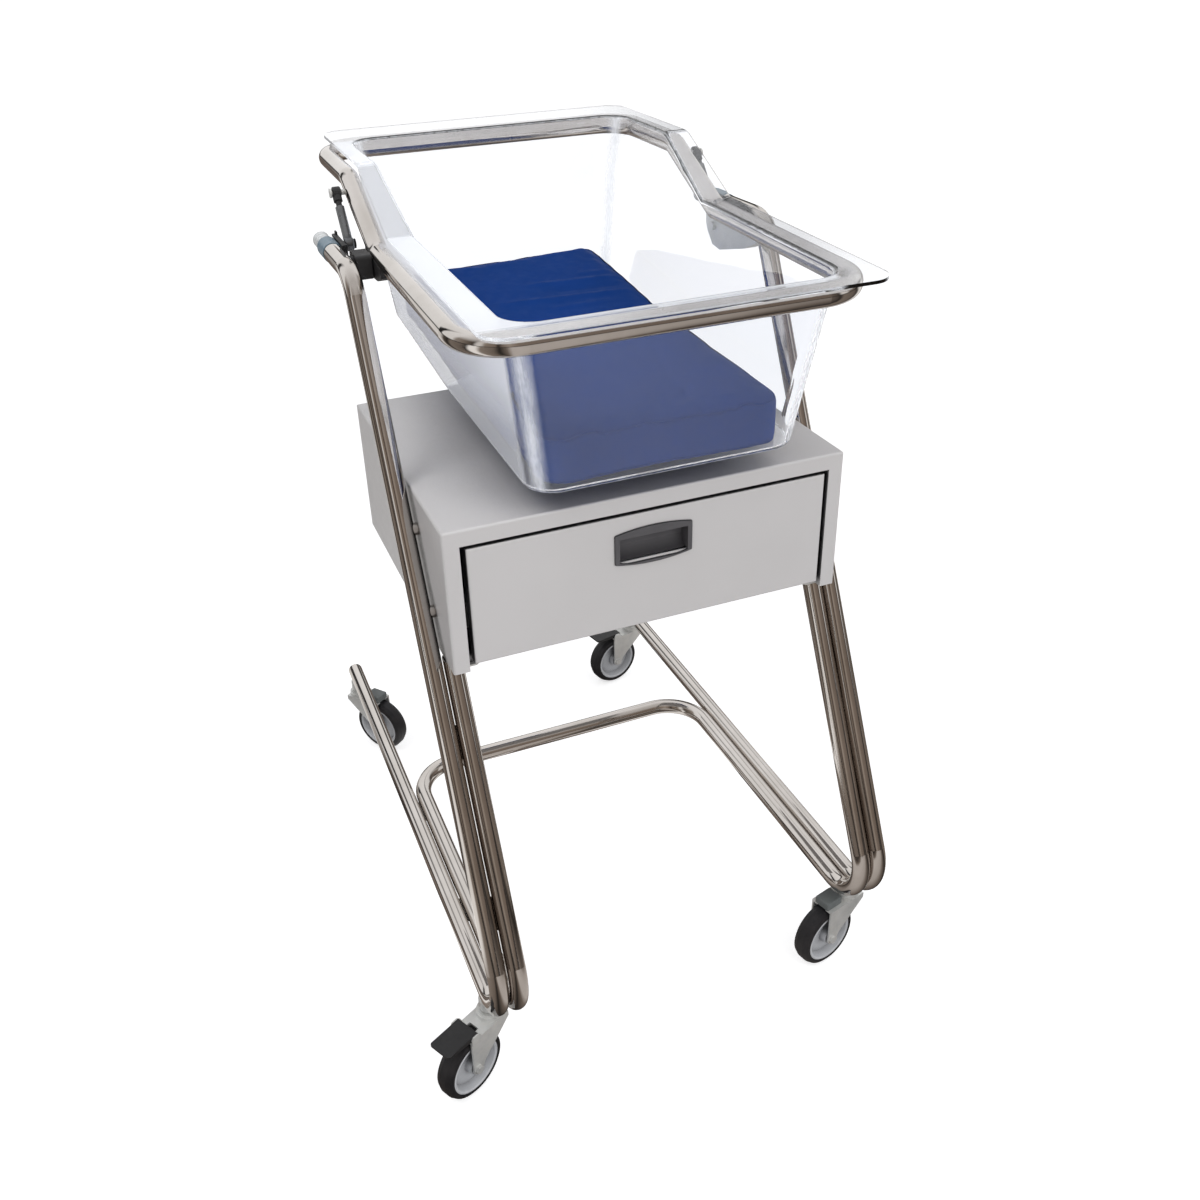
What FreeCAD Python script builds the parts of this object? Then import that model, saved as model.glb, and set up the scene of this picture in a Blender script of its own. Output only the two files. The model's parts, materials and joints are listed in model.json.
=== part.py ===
import FreeCAD, Part
import math
import os

# ---------------------------------------------------------------------------
# Hospital bassinet: clear tub in a tilting tube ring, on a wheeled tube stand
# with a cabinet and one drawer.  Units are millimetres, +Z is up, +Y points
# from the drawer side (foot end) to the handles (head end), +X to the right.
# The solids are drawn about the stand's middle plane (X = 0) and moved at the
# end, so that the origin is on the floor under the centre of the whole part.
# ---------------------------------------------------------------------------
SHIFT_X = 34.54           # move to the origin
SHIFT_Y = -476.77

# tubes
TUBE_R = 12.5             # outer radius of every bent tube
TUBE_WALL = 1.5
OUTER_X = 279.0           # tall side tubes, centre line
INNER_X = 253.0           # short inner tubes, centre line
RUN_Z = 142.0             # floor runs, centre line height
LEAN = math.radians(26.2)  # uprights lean back from vertical
FRONT_BEND_R = 65.0
HANDLE_BEND_R = 45.0
RUN_END_Y = 925.0
HANDLE_Z = 1022.5         # vertex of the handle bend
HANDLE_END_Y = 577.0
HANDLE_END_Z = 1021.1
CROSSBAR_Y = 586.0
CROSSBAR_BEND_R = 70.0

# handle trims
BAND_Y0, BAND_Y1, BAND_R = 538.0, 576.6, 13.2
SLEEVE_Y0, SLEEVE_Y1 = 554.0, 619.0
SLEEVE_R, SLEEVE_BORE_R = 10.9, 9.0

# cabinet
CAB_X = 262.5
CAB_Y0, CAB_Y1 = 180.0, 614.0
CAB_Z0, CAB_Z1 = 598.0, 789.0
SHEET = 1.5
BAY_X = 242.0             # bay opening half width
BAY_TOP = 768.0
CAB_EDGE_R = 3.0

# drawer
DRAWER_X0, DRAWER_X1 = -234.8, 236.5
DRAWER_Z0, DRAWER_Z1 = 606.5, 763.0
DRAWER_DEPTH = 18.0
TRAY_X = 224.0
TRAY_Y1 = 590.0
TRAY_Z0, TRAY_Z1 = 614.0, 735.0
TRAY_SHEET = 1.2
SLIDE_Z = 661.0
SLIDE_Y0, SLIDE_Y1 = 206.0, 586.0

# pull
PULL_CX = -0.5
PULL_HALF = 51.5
PULL_Z0, PULL_Z1 = 699.5, 739.5
PULL_BOW, PULL_ARCH = 694.0, 745.0
PULL_PROUD = 2.5

# tilting ring, centre line
RING_X = 233.0
RING_FRONT = (110.0, 1018.0)
RING_BEND1 = (482.0, 1029.0)
RING_BEND2 = (615.0, 1095.0)
RING_REAR = (799.0, 1098.5)
RING_FRONT_R, RING_REAR_R, RING_BEND_R = 61.0, 50.0, 30.0
RING_SPLIT_Y = 430.0

# tilt pivot
PIVOT_Y, PIVOT_Z = 476.0, 1010.0
PIN_R = 4.0
RUN_CLEAR = 0.05          # radial running clearance of pins and stems

# struts
STRUT_X = 256.0
STRUT_LOW = (548.0, 1028.0)
STRUT_UP = (594.0, 1083.0)

# tub
TUB_CX = 10.5             # the tub sits a little to the right in its ring
TUB_WALL = 4.0
FLANGE_X0, FLANGE_X1 = -221.5, 251.0
FLANGE_Y0, FLANGE_Y1 = 88.0, 858.0
FLANGE_GAP = 12.8         # flange underside above the ring's centre line
FLANGE_T = 4.0
FLANGE_CORNER_R = 30.0
TUB_CORNER_R = 38.0
TUB_EDGE_R = 8.0
MOUTH_R = 6.0             # rolled inner edge of the mouth
TUB_HALF, TUB_DRAFT = 170.5, 0.1390
FLOOR_FRONT = (152.0, 822.6)
FLOOR_BEND = (490.0, 835.4)
FLOOR_REAR = (762.0, 872.2)

# mattress
PAD_PLAN = ((-149.0, 158.5), (173.5, 159.5), (161.0, 757.0), (-155.0, 741.0))
PAD_T = 56.0
PAD_LIFT = 1.0
PAD_FRONT_R, PAD_REAR_R = 32.0, 9.0
PAD_EDGE_R = 4.5

# castors: name, stem x, stem y, trail direction, has a brake pedal
WHEEL_R = 50.0
TYRE_W = 29.0
RIM_R = 40.2
TRAIL = 45.0
CASTORS = (
    ("front_left", -279.0, 100.0, 207.7, True),
    ("front_right", 279.0, 100.0, 194.6, False),
    ("rear_right", 279.0, 900.0, 193.0, True),
    ("rear_left", -279.0, 900.0, 308.0, False),
)
STEM_R = 6.0

V = FreeCAD.Vector
X_AXIS, Y_AXIS, Z_AXIS = V(1, 0, 0), V(0, 1, 0), V(0, 0, 1)
OUT = {}


# ---------------------------------------------------------------------------
# helpers
# ---------------------------------------------------------------------------
def box(x0, x1, y0, y1, z0, z1):
    return Part.makeBox(x1 - x0, y1 - y0, z1 - z0, V(x0, y0, z0))


def cyl(p, d, r, h):
    return Part.makeCylinder(r, h, V(*p), V(*d))


def fuse(shapes):
    s = shapes[0]
    if len(shapes) > 1:
        s = s.fuse(shapes[1:])
    return s


def one(shape):
    """Merged single solid (or a compound of solids) of a boolean result."""
    s = shape.removeSplitter()
    sol = s.Solids
    if len(sol) == 1:
        return sol[0]
    return Part.makeCompound(sol)


def group(shapes):
    sol = []
    for s in shapes:
        sol.extend(s.Solids)
    return Part.makeCompound(sol)


def prism_yz(pts, x0, x1):
    w = Part.makePolygon([V(x0, y, z) for y, z in pts] + [V(x0, pts[0][0], pts[0][1])])
    return Part.Face(w).extrude(V(x1 - x0, 0, 0))


def path_parts(pts, radii):
    """Straight pieces and bends of a round-cornered path."""
    pts = [V(*p) for p in pts]
    pieces = []
    start = pts[0]
    for i in range(1, len(pts) - 1):
        p = pts[i]
        d1 = (p - pts[i - 1]).normalize()
        d2 = (pts[i + 1] - p).normalize()
        cosv = max(-1.0, min(1.0, d1.dot(d2)))
        phi = math.acos(cosv)
        r = radii[i - 1]
        t = r * math.tan(phi / 2.0)
        a = p - d1 * t
        b = p + d2 * t
        n = (d2 - d1 * cosv).normalize()
        c = a + n * r
        k = d1.cross(d2).normalize()
        pieces.append(("line", start, a))
        pieces.append(("arc", a, d1, c, k, math.degrees(phi)))
        start = b
    pieces.append(("line", start, pts[-1]))
    return pieces


def rod_along(pts, radii, r, grow=0.0):
    """Solid round bar along a round-cornered path; grow lengthens both ends."""
    pts = [V(*p) for p in pts]
    if grow:
        pts[0] = pts[0] + (pts[0] - pts[1]).normalize() * grow
        pts[-1] = pts[-1] + (pts[-1] - pts[-2]).normalize() * grow
    out = []
    for q in path_parts(pts, radii):
        if q[0] == "line":
            d = q[2] - q[1]
            if d.Length > 1e-6:
                out.append(Part.makeCylinder(r, d.Length, q[1], d))
        else:
            _, a, d1, c, k, deg = q
            w = Part.Wire([Part.makeCircle(r, a, d1)])
            out.append(Part.Face(w).revolve(c, k, deg))
    return fuse(out)


def path_wire(pts, radii):
    edges = []
    for q in path_parts(pts, radii):
        if q[0] == "line":
            if (q[2] - q[1]).Length > 1e-6:
                edges.append(Part.makeLine(q[1], q[2]))
        else:
            _, a, d1, c, k, deg = q
            arm = a - c
            m = c + FreeCAD.Rotation(k, deg / 2.0).multVec(arm)
            b = c + FreeCAD.Rotation(k, deg).multVec(arm)
            edges.append(Part.Arc(a, m, b).toShape())
    return Part.Wire(edges)


def pipe(pts, radii, r):
    w = path_wire(pts, radii)
    d = (V(*pts[1]) - V(*pts[0])).normalize()
    ring = Part.Wire([Part.makeCircle(r, V(*pts[0]), d)])
    return w.makePipeShell([ring], True, False)


def tube_along(pts, radii, r=TUBE_R, wall=TUBE_WALL):
    return one(pipe(pts, radii, r).cut(pipe(pts, radii, r - wall)))


def fillet_where(shape, r, test):
    edges = [e for e in shape.Edges if test(e)]
    return shape.makeFillet(r, edges)


def mid(e):
    return e.valueAt((e.FirstParameter + e.LastParameter) / 2.0)


def along_line(p, q, y):
    """Height at y of the line through two (y, z) points."""
    return p[1] + (q[1] - p[1]) * (y - p[0]) / (q[0] - p[0])


def upright_y(z):
    return (z - RUN_Z) * math.tan(LEAN)


# ---------------------------------------------------------------------------
# stand: tubes
# ---------------------------------------------------------------------------
BEND_TOP_Y = upright_y(HANDLE_Z)
SOCKET_R, SOCKET_TOP, SOCKET_Z0 = 9.5, 147.0, 119.5


def side_path(s):
    x = s * OUTER_X
    return [(x, RUN_END_Y, RUN_Z), (x, 0.0, RUN_Z), (x, BEND_TOP_Y, HANDLE_Z),
            (x, HANDLE_END_Y, HANDLE_END_Z)]


for side, s in (("left", -1.0), ("right", 1.0)):
    t = tube_along(side_path(s), [FRONT_BEND_R, HANDLE_BEND_R])
    for y in (100.0, 900.0):
        t = t.cut(cyl((s * OUTER_X, y, 110.0), (0, 0, 1), SOCKET_R, 30.0))
    OUT["side_tube_" + side] = one(t)

# outer surfaces used to trim what sits against the tubes
SIDE_BAR = {s: rod_along(side_path(s), [FRONT_BEND_R, HANDLE_BEND_R], TUBE_R) for s in (-1.0, 1.0)}

PLATE_T = 2.5
UP_TOP = CAB_Z0 - PLATE_T
base_path = [(-INNER_X, upright_y(UP_TOP + 20.0), UP_TOP + 20.0), (-INNER_X, 0.0, RUN_Z),
             (-INNER_X, CROSSBAR_Y, RUN_Z), (INNER_X, CROSSBAR_Y, RUN_Z),
             (INNER_X, 0.0, RUN_Z), (INNER_X, upright_y(UP_TOP + 20.0), UP_TOP + 20.0)]
base_radii = [FRONT_BEND_R, CROSSBAR_BEND_R, CROSSBAR_BEND_R, FRONT_BEND_R]
base = tube_along(base_path, base_radii)
base = base.cut(box(-400, 400, -100, 700, UP_TOP, 900))
OUT["base_tube"] = one(base)
BASE_BAR = rod_along(base_path, base_radii, TUBE_R)

# weld plates in the groove between each pair of tubes
welds = []
for s in (-1.0, 1.0):
    gx = s * (OUTER_X + INNER_X) / 2.0
    for y in (240.0, 470.0):
        welds.append(box(gx - 5.0, gx + 5.0, y, y + 45.0, RUN_Z - 9.0, RUN_Z - 6.0))
    for z in (300.0, 500.0):
        w = box(gx - 5.0, gx + 5.0, 6.0, 9.0, -22.0, 22.0)
        w.rotate(V(0, 0, 0), X_AXIS, -math.degrees(LEAN))
        w.translate(V(0, upright_y(z), z))
        welds.append(w)
welds = [w.cut(SIDE_BAR[-1.0]).cut(SIDE_BAR[1.0]).cut(BASE_BAR) for w in welds]
OUT["weld_plates"] = group(welds)

# plugs that close the floor runs' rear ends
caps = []
for s in (-1.0, 1.0):
    c = cyl((s * OUTER_X, RUN_END_Y - 8.0, RUN_Z), (0, 1, 0), TUBE_R - TUBE_WALL, 8.0)
    c = c.fuse(cyl((s * OUTER_X, RUN_END_Y, RUN_Z), (0, 1, 0), TUBE_R - 0.3, 1.6))
    caps.append(one(c))
OUT["run_end_caps"] = group(caps)

# castor sockets: bushes let into the underside of the runs
socks = []
for name, sx, sy, ang, brake in CASTORS:
    c = cyl((sx, sy, SOCKET_Z0), (0, 0, 1), SOCKET_R, SOCKET_TOP - SOCKET_Z0)
    collar = cyl((sx, sy, SOCKET_Z0), (0, 0, 1), 14.0, 14.0)
    collar = collar.cut(SIDE_BAR[-1.0 if sx < 0 else 1.0])
    c = c.fuse(collar)
    c = c.cut(cyl((sx, sy, SOCKET_Z0 - 1.0), (0, 0, 1), STEM_R + RUN_CLEAR, 40.0))
    socks.append(one(c))
OUT["castor_sockets"] = group(socks)

# handle trims
h_dir = V(0, HANDLE_END_Y - BEND_TOP_Y, HANDLE_END_Z - HANDLE_Z).normalize()


def handle_point(y):
    return HANDLE_Z + (HANDLE_END_Z - HANDLE_Z) * (y - BEND_TOP_Y) / (HANDLE_END_Y - BEND_TOP_Y)


bands = []
for side, s in (("left", -1.0), ("right", 1.0)):
    d = (0, h_dir.y, h_dir.z)
    p = (s * OUTER_X, SLEEVE_Y0, handle_point(SLEEVE_Y0))
    sl = cyl(p, d, SLEEVE_R, SLEEVE_Y1 - SLEEVE_Y0)
    sl = sl.cut(cyl((p[0], p[1] - 1.0, handle_point(p[1] - 1.0)), d, SLEEVE_BORE_R, 90.0))
    sl = fillet_where(sl, 0.8, lambda e: mid(e).y > SLEEVE_Y1 - 1.0 and e.Length > 30)
    OUT["handle_sleeve_" + side] = one(sl)
    pb = (s * OUTER_X, BAND_Y0, handle_point(BAND_Y0))
    b = cyl(pb, d, BAND_R, BAND_Y1 - BAND_Y0)
    b = b.cut(cyl((pb[0], pb[1] - 1.0, handle_point(pb[1] - 1.0)), d, TUBE_R, 60.0))
    bands.append(one(b))
OUT["handle_bands"] = group(bands)

# ---------------------------------------------------------------------------
# cabinet
# ---------------------------------------------------------------------------
outer = box(-CAB_X, CAB_X, CAB_Y0, CAB_Y1, CAB_Z0, CAB_Z1)
outer = fillet_where(outer, CAB_EDGE_R, lambda e: mid(e).z > CAB_Z1 - 0.1 or
                     (mid(e).y < CAB_Y0 + 0.1 and abs(mid(e).x) > CAB_X - 0.1))
inner = box(-CAB_X + SHEET, CAB_X - SHEET, CAB_Y0 + SHEET, CAB_Y1 + 1.0, CAB_Z0 - 1.0, CAB_Z1 - SHEET)
shell = outer.cut(inner)
shell = shell.cut(box(-BAY_X, BAY_X, CAB_Y0 - 1, CAB_Y0 + 5, CAB_Z0 - 1, BAY_TOP))
returns = []
for s in (-1.0, 1.0):
    xa, xb = sorted((s * BAY_X, s * (BAY_X + SHEET)))
    returns.append(box(xa, xb, CAB_Y0 + 0.4, CAB_Y0 + 18.0, CAB_Z0, BAY_TOP + SHEET))
returns.append(box(-BAY_X - SHEET, BAY_X + SHEET, CAB_Y0 + 0.4, CAB_Y0 + 18.0, BAY_TOP, BAY_TOP + SHEET))
shell = shell.fuse(returns)
OUT["cabinet_shell"] = one(shell)

back = box(-CAB_X + SHEET, CAB_X - SHEET, CAB_Y1 - SHEET, CAB_Y1, CAB_Z0 + SHEET, CAB_Z1 - SHEET)
for s in (-1.0, 1.0):
    xa, xb = sorted((s * (CAB_X - SHEET), s * (CAB_X - SHEET - 12.0)))
    back = back.fuse(box(xa, xb, CAB_Y1 - 14.0, CAB_Y1 - SHEET, CAB_Z0 + SHEET, CAB_Z0 + SHEET + 1.2))
OUT["cabinet_back"] = one(back)

floor_plate = box(-CAB_X + SHEET, CAB_X - SHEET, CAB_Y0 + 20.0, CAB_Y1, CAB_Z0, CAB_Z0 + SHEET)
floor_plate = floor_plate.fuse(box(-BAY_X + 2.0, BAY_X - 2.0, CAB_Y0 + 20.0, CAB_Y0 + 20.0 + SHEET,
                                   CAB_Z0, CAB_Z0 + 10.0))
OUT["cabinet_floor"] = one(floor_plate)

# plates on the short tubes that carry the cabinet
plates = []
for s in (-1.0, 1.0):
    xa, xb = sorted((s * 226.0, s * 262.0))
    p = box(xa, xb, 194.0, 256.0, UP_TOP, CAB_Z0)
    p = fillet_where(p, 6.0, lambda e: abs(e.Length - PLATE_T) < 0.01)
    plates.append(p)
OUT["tube_mount_plates"] = group(plates)

# spacers and bolts between the cabinet sides and the tall tubes
spacers = []
for s in (-1.0, 1.0):
    for z in (650.0, 742.0):
        y = upright_y(z)
        d = (s, 0, 0)
        sp = cyl((s * CAB_X, y, z), d, 8.0, 8.0).cut(SIDE_BAR[s])
        sp = max(sp.Solids, key=lambda q: -abs(q.CenterOfMass.x))
        spacers.append(sp)
OUT["cabinet_spacers"] = group(spacers)

# ---------------------------------------------------------------------------
# drawer runners: fixed channel, middle channel, drawer channel
# ---------------------------------------------------------------------------
def channel(s, x_web0, x_web1, x_lip, half, t):
    """C-section: web between |x| = x_web0 and x_web1, lips reaching |x| = x_lip."""
    xa, xb = sorted((s * x_web0, s * x_web1))
    w = box(xa, xb, SLIDE_Y0, SLIDE_Y1, SLIDE_Z - half, SLIDE_Z + half)
    x_in = x_web0 if abs(x_lip) < abs(x_web0) else x_web1
    la, lb = sorted((s * x_in, s * x_lip))
    up = box(la, lb, SLIDE_Y0, SLIDE_Y1, SLIDE_Z + half - t, SLIDE_Z + half)
    dn = box(la, lb, SLIDE_Y0, SLIDE_Y1, SLIDE_Z - half, SLIDE_Z - half + t)
    return w.fuse([up, dn])


for side, s in (("left", -1.0), ("right", 1.0)):
    o = channel(s, 235.0, 236.5, 227.0, 17.5, 1.2)
    br = []
    for y in (222.0, 520.0):
        xa, xb = sorted((s * 236.5, s * (CAB_X - SHEET)))
        b = box(xa, xb, y, y + 40.0, SLIDE_Z - 15.0, SLIDE_Z + 15.0)
        xa, xb = sorted((s * 238.5, s * (CAB_X - SHEET - 2.0)))
        br.append(b.cut(box(xa, xb, y - 1, y + 41.0, SLIDE_Z - 13.0, SLIDE_Z + 13.0)))
    OUT["slide_outer_" + side] = one(o.fuse(br))
    OUT["slide_middle_" + side] = one(channel(s, 231.6, 233.0, 227.2, 14.6, 1.2))
    OUT["slide_inner_" + side] = one(channel(s, 224.0, 225.4, 230.4, 11.5, 1.2))

# ---------------------------------------------------------------------------
# drawer
# ---------------------------------------------------------------------------
Y0 = CAB_Y0
pan = box(DRAWER_X0, DRAWER_X1, Y0, Y0 + DRAWER_DEPTH, DRAWER_Z0, DRAWER_Z1)
pan = fillet_where(pan, 2.2, lambda e: mid(e).y < Y0 + 0.1)
pan = pan.cut(box(DRAWER_X0 + SHEET, DRAWER_X1 - SHEET, Y0 + SHEET, Y0 + DRAWER_DEPTH + 1,
                  DRAWER_Z0 + SHEET, DRAWER_Z1 - SHEET))
HOLE_X0, HOLE_X1 = PULL_CX - 47.5, PULL_CX + 47.5
HOLE_Z0, HOLE_Z1 = 701.5, 737.0
pan = pan.cut(box(HOLE_X0, HOLE_X1, Y0 - 1, Y0 + 5, HOLE_Z0, HOLE_Z1))
OUT["drawer_front"] = one(pan)

TY0 = Y0 + DRAWER_DEPTH
tray = box(-TRAY_X, TRAY_X, TY0, TRAY_Y1, TRAY_Z0, TRAY_Z1)
tray = tray.cut(box(-TRAY_X + TRAY_SHEET, TRAY_X - TRAY_SHEET, TY0 + TRAY_SHEET, TRAY_Y1 - TRAY_SHEET,
                    TRAY_Z0 + TRAY_SHEET, TRAY_Z1 + 1))
rim = []
for s in (-1.0, 1.0):
    xa, xb = sorted((s * (TRAY_X - TRAY_SHEET), s * (TRAY_X - 7.0)))
    rim.append(box(xa, xb, TY0 + TRAY_SHEET, TRAY_Y1 - TRAY_SHEET, TRAY_Z1 - TRAY_SHEET, TRAY_Z1))
tray = tray.fuse(rim)
flange = box(DRAWER_X0 + 4.0, DRAWER_X1 - 4.0, TY0, TY0 + TRAY_SHEET, DRAWER_Z0 + 4.0, DRAWER_Z1 - 4.0)
tray = tray.fuse(flange)
OUT["drawer_tray"] = one(tray)


def bowed(x0, x1, z0, z1, zb, za, y, depth):
    """Panel with upright sides, a bow below (zb) and an arch above (za)."""
    cx = (x0 + x1) / 2.0
    e1 = Part.Arc(V(x0, y, z0), V(cx, y, zb), V(x1, y, z0)).toShape()
    e2 = Part.makeLine(V(x1, y, z0), V(x1, y, z1))
    e3 = Part.Arc(V(x1, y, z1), V(cx, y, za), V(x0, y, z1)).toShape()
    e4 = Part.makeLine(V(x0, y, z1), V(x0, y, z0))
    return Part.Face(Part.Wire([e1, e2, e3, e4])).extrude(V(0, depth, 0))


px0, px1 = PULL_CX - PULL_HALF, PULL_CX + PULL_HALF
bezel = bowed(px0, px1, PULL_Z0, PULL_Z1, PULL_BOW, PULL_ARCH, Y0 - PULL_PROUD, PULL_PROUD)
bezel = fillet_where(bezel, 2.0, lambda e: abs(e.Length - PULL_PROUD) < 0.01)
bezel = fillet_where(bezel, 1.2, lambda e: abs(mid(e).y - (Y0 - PULL_PROUD)) < 0.01)
cup = box(HOLE_X0 + 0.2, HOLE_X1 - 0.2, Y0, Y0 + DRAWER_DEPTH - 0.4, HOLE_Z0 + 0.2, HOLE_Z1 - 0.2)
pull = bezel.fuse(cup)
# finger space: scooped floor, roof behind the lip
cav_x0, cav_x1 = PULL_CX - 45.3, PULL_CX + 45.3
yb = Y0 + DRAWER_DEPTH - 2.0
w = Part.Wire([
    Part.makeLine(V(cav_x0, Y0 - 4.0, 697.5), V(cav_x0, Y0 - PULL_PROUD + 0.2, 698.0)),
    Part.Arc(V(cav_x0, Y0 - PULL_PROUD + 0.2, 698.0), V(cav_x0, Y0 + 8.0, 704.0),
             V(cav_x0, yb, 716.0)).toShape(),
    Part.makeLine(V(cav_x0, yb, 716.0), V(cav_x0, yb, 735.2)),
    Part.makeLine(V(cav_x0, yb, 735.2), V(cav_x0, Y0 + 3.0, 735.2)),
    Part.makeLine(V(cav_x0, Y0 + 3.0, 735.2), V(cav_x0, Y0 - 4.0, 733.0)),
    Part.makeLine(V(cav_x0, Y0 - 4.0, 733.0), V(cav_x0, Y0 - 4.0, 697.5)),
])
cav = Part.Face(w).extrude(V(cav_x1 - cav_x0, 0, 0))
bow_cut = bowed(cav_x0, cav_x1, PULL_Z0 + 1.6, 760.0, PULL_BOW + 1.6, 765.0, Y0 - 10.0, 60.0)
pull = pull.cut(cav.common(bow_cut))
OUT["drawer_pull"] = one(pull)

# ---------------------------------------------------------------------------
# tilting ring
# ---------------------------------------------------------------------------
split_z = along_line(RING_FRONT, RING_BEND1, RING_SPLIT_Y)
front_path = [(-RING_X, RING_SPLIT_Y, split_z), (-RING_X,) + RING_FRONT, (RING_X,) + RING_FRONT,
              (RING_X, RING_SPLIT_Y, split_z)]
rear_path = [(RING_X, RING_SPLIT_Y, split_z), (RING_X,) + RING_BEND1, (RING_X,) + RING_BEND2,
             (RING_X,) + RING_REAR, (-RING_X,) + RING_REAR, (-RING_X,) + RING_BEND2,
             (-RING_X,) + RING_BEND1, (-RING_X, RING_SPLIT_Y, split_z)]
front_radii = [RING_FRONT_R, RING_FRONT_R]
rear_radii = [RING_BEND_R, RING_BEND_R, RING_REAR_R, RING_REAR_R, RING_BEND_R, RING_BEND_R]
OUT["ring_front_tube"] = tube_along(front_path, front_radii)
OUT["ring_rear_tube"] = tube_along(rear_path, rear_radii)
RING_BAR = fuse([rod_along(front_path, front_radii, TUBE_R), rod_along(rear_path, rear_radii, TUBE_R)])

# feet under the ring that carry the tilt pins
FOOT_X0, FOOT_X1 = 228.0, 245.6
pins = []
FOOT_LEFT = [(426.0, 1024.0), (426.0, 1012.0), (446.0, 1004.5), (470.0, 1003.2), (490.0, 1003.2),
             (499.0, 1010.0), (499.0, 1036.0)]
FOOT_RIGHT = [(360.0, 1024.0), (360.0, 1012.0), (392.0, 998.0), (430.0, 988.5), (458.0, 981.5),
              (479.0, 984.5), (494.0, 1000.0), (499.0, 1010.0), (499.0, 1036.0)]
for side, s, profile in (("left", -1.0, FOOT_LEFT), ("right", 1.0, FOOT_RIGHT)):
    xa, xb = sorted((s * FOOT_X0, s * FOOT_X1))
    foot = prism_yz(profile, xa, xb)
    foot = fillet_where(foot, 2.0, lambda e: abs(e.Length - (FOOT_X1 - FOOT_X0)) < 0.01 and mid(e).z < 1011)
    foot = foot.cut(RING_BAR)
    foot = max(foot.Solids, key=lambda q: q.Volume)
    foot = foot.cut(cyl((s * 220.0, PIVOT_Y, PIVOT_Z), (s, 0, 0), PIN_R, 40.0))
    foot = max(one(foot).Solids, key=lambda q: q.Volume)
    OUT["ring_foot_" + side] = foot
    pin = cyl((s * FOOT_X0, PIVOT_Y, PIVOT_Z), (s, 0, 0), PIN_R, 37.5)
    head = cyl((s * (FOOT_X0 - 4.0), PIVOT_Y, PIVOT_Z), (s, 0, 0), 5.6, 4.0)
    pins.append(one(pin.fuse(head)))
OUT["tilt_pins"] = group(pins)

# black bearing blocks on the handles
BLOCK_X0, BLOCK_X1 = 246.6, 266.2
for side, s in (("left", -1.0), ("right", 1.0)):
    xa, xb = sorted((s * BLOCK_X0, s * BLOCK_X1))
    blk = box(xa, xb, 458.0, 497.0, 1004.2, 1034.0)
    blk = fillet_where(blk, 5.0, lambda e: abs(e.Length - (BLOCK_X1 - BLOCK_X0)) < 0.01)
    blk = fillet_where(blk, 1.2, lambda e: abs(abs(mid(e).x) - BLOCK_X0) < 0.01)
    boss = cyl((s * 262.0, 477.0, handle_point(477.0)), (s, 0, 0), 9.0, 10.0).cut(SIDE_BAR[s])
    boss = min(boss.Solids, key=lambda q: abs(q.CenterOfMass.x))
    blk = blk.fuse(boss)
    blk = blk.cut(cyl((s * 240.0, PIVOT_Y, PIVOT_Z), (s, 0, 0), PIN_R + RUN_CLEAR, 40.0))
    OUT["pivot_block_" + side] = one(blk)

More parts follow.
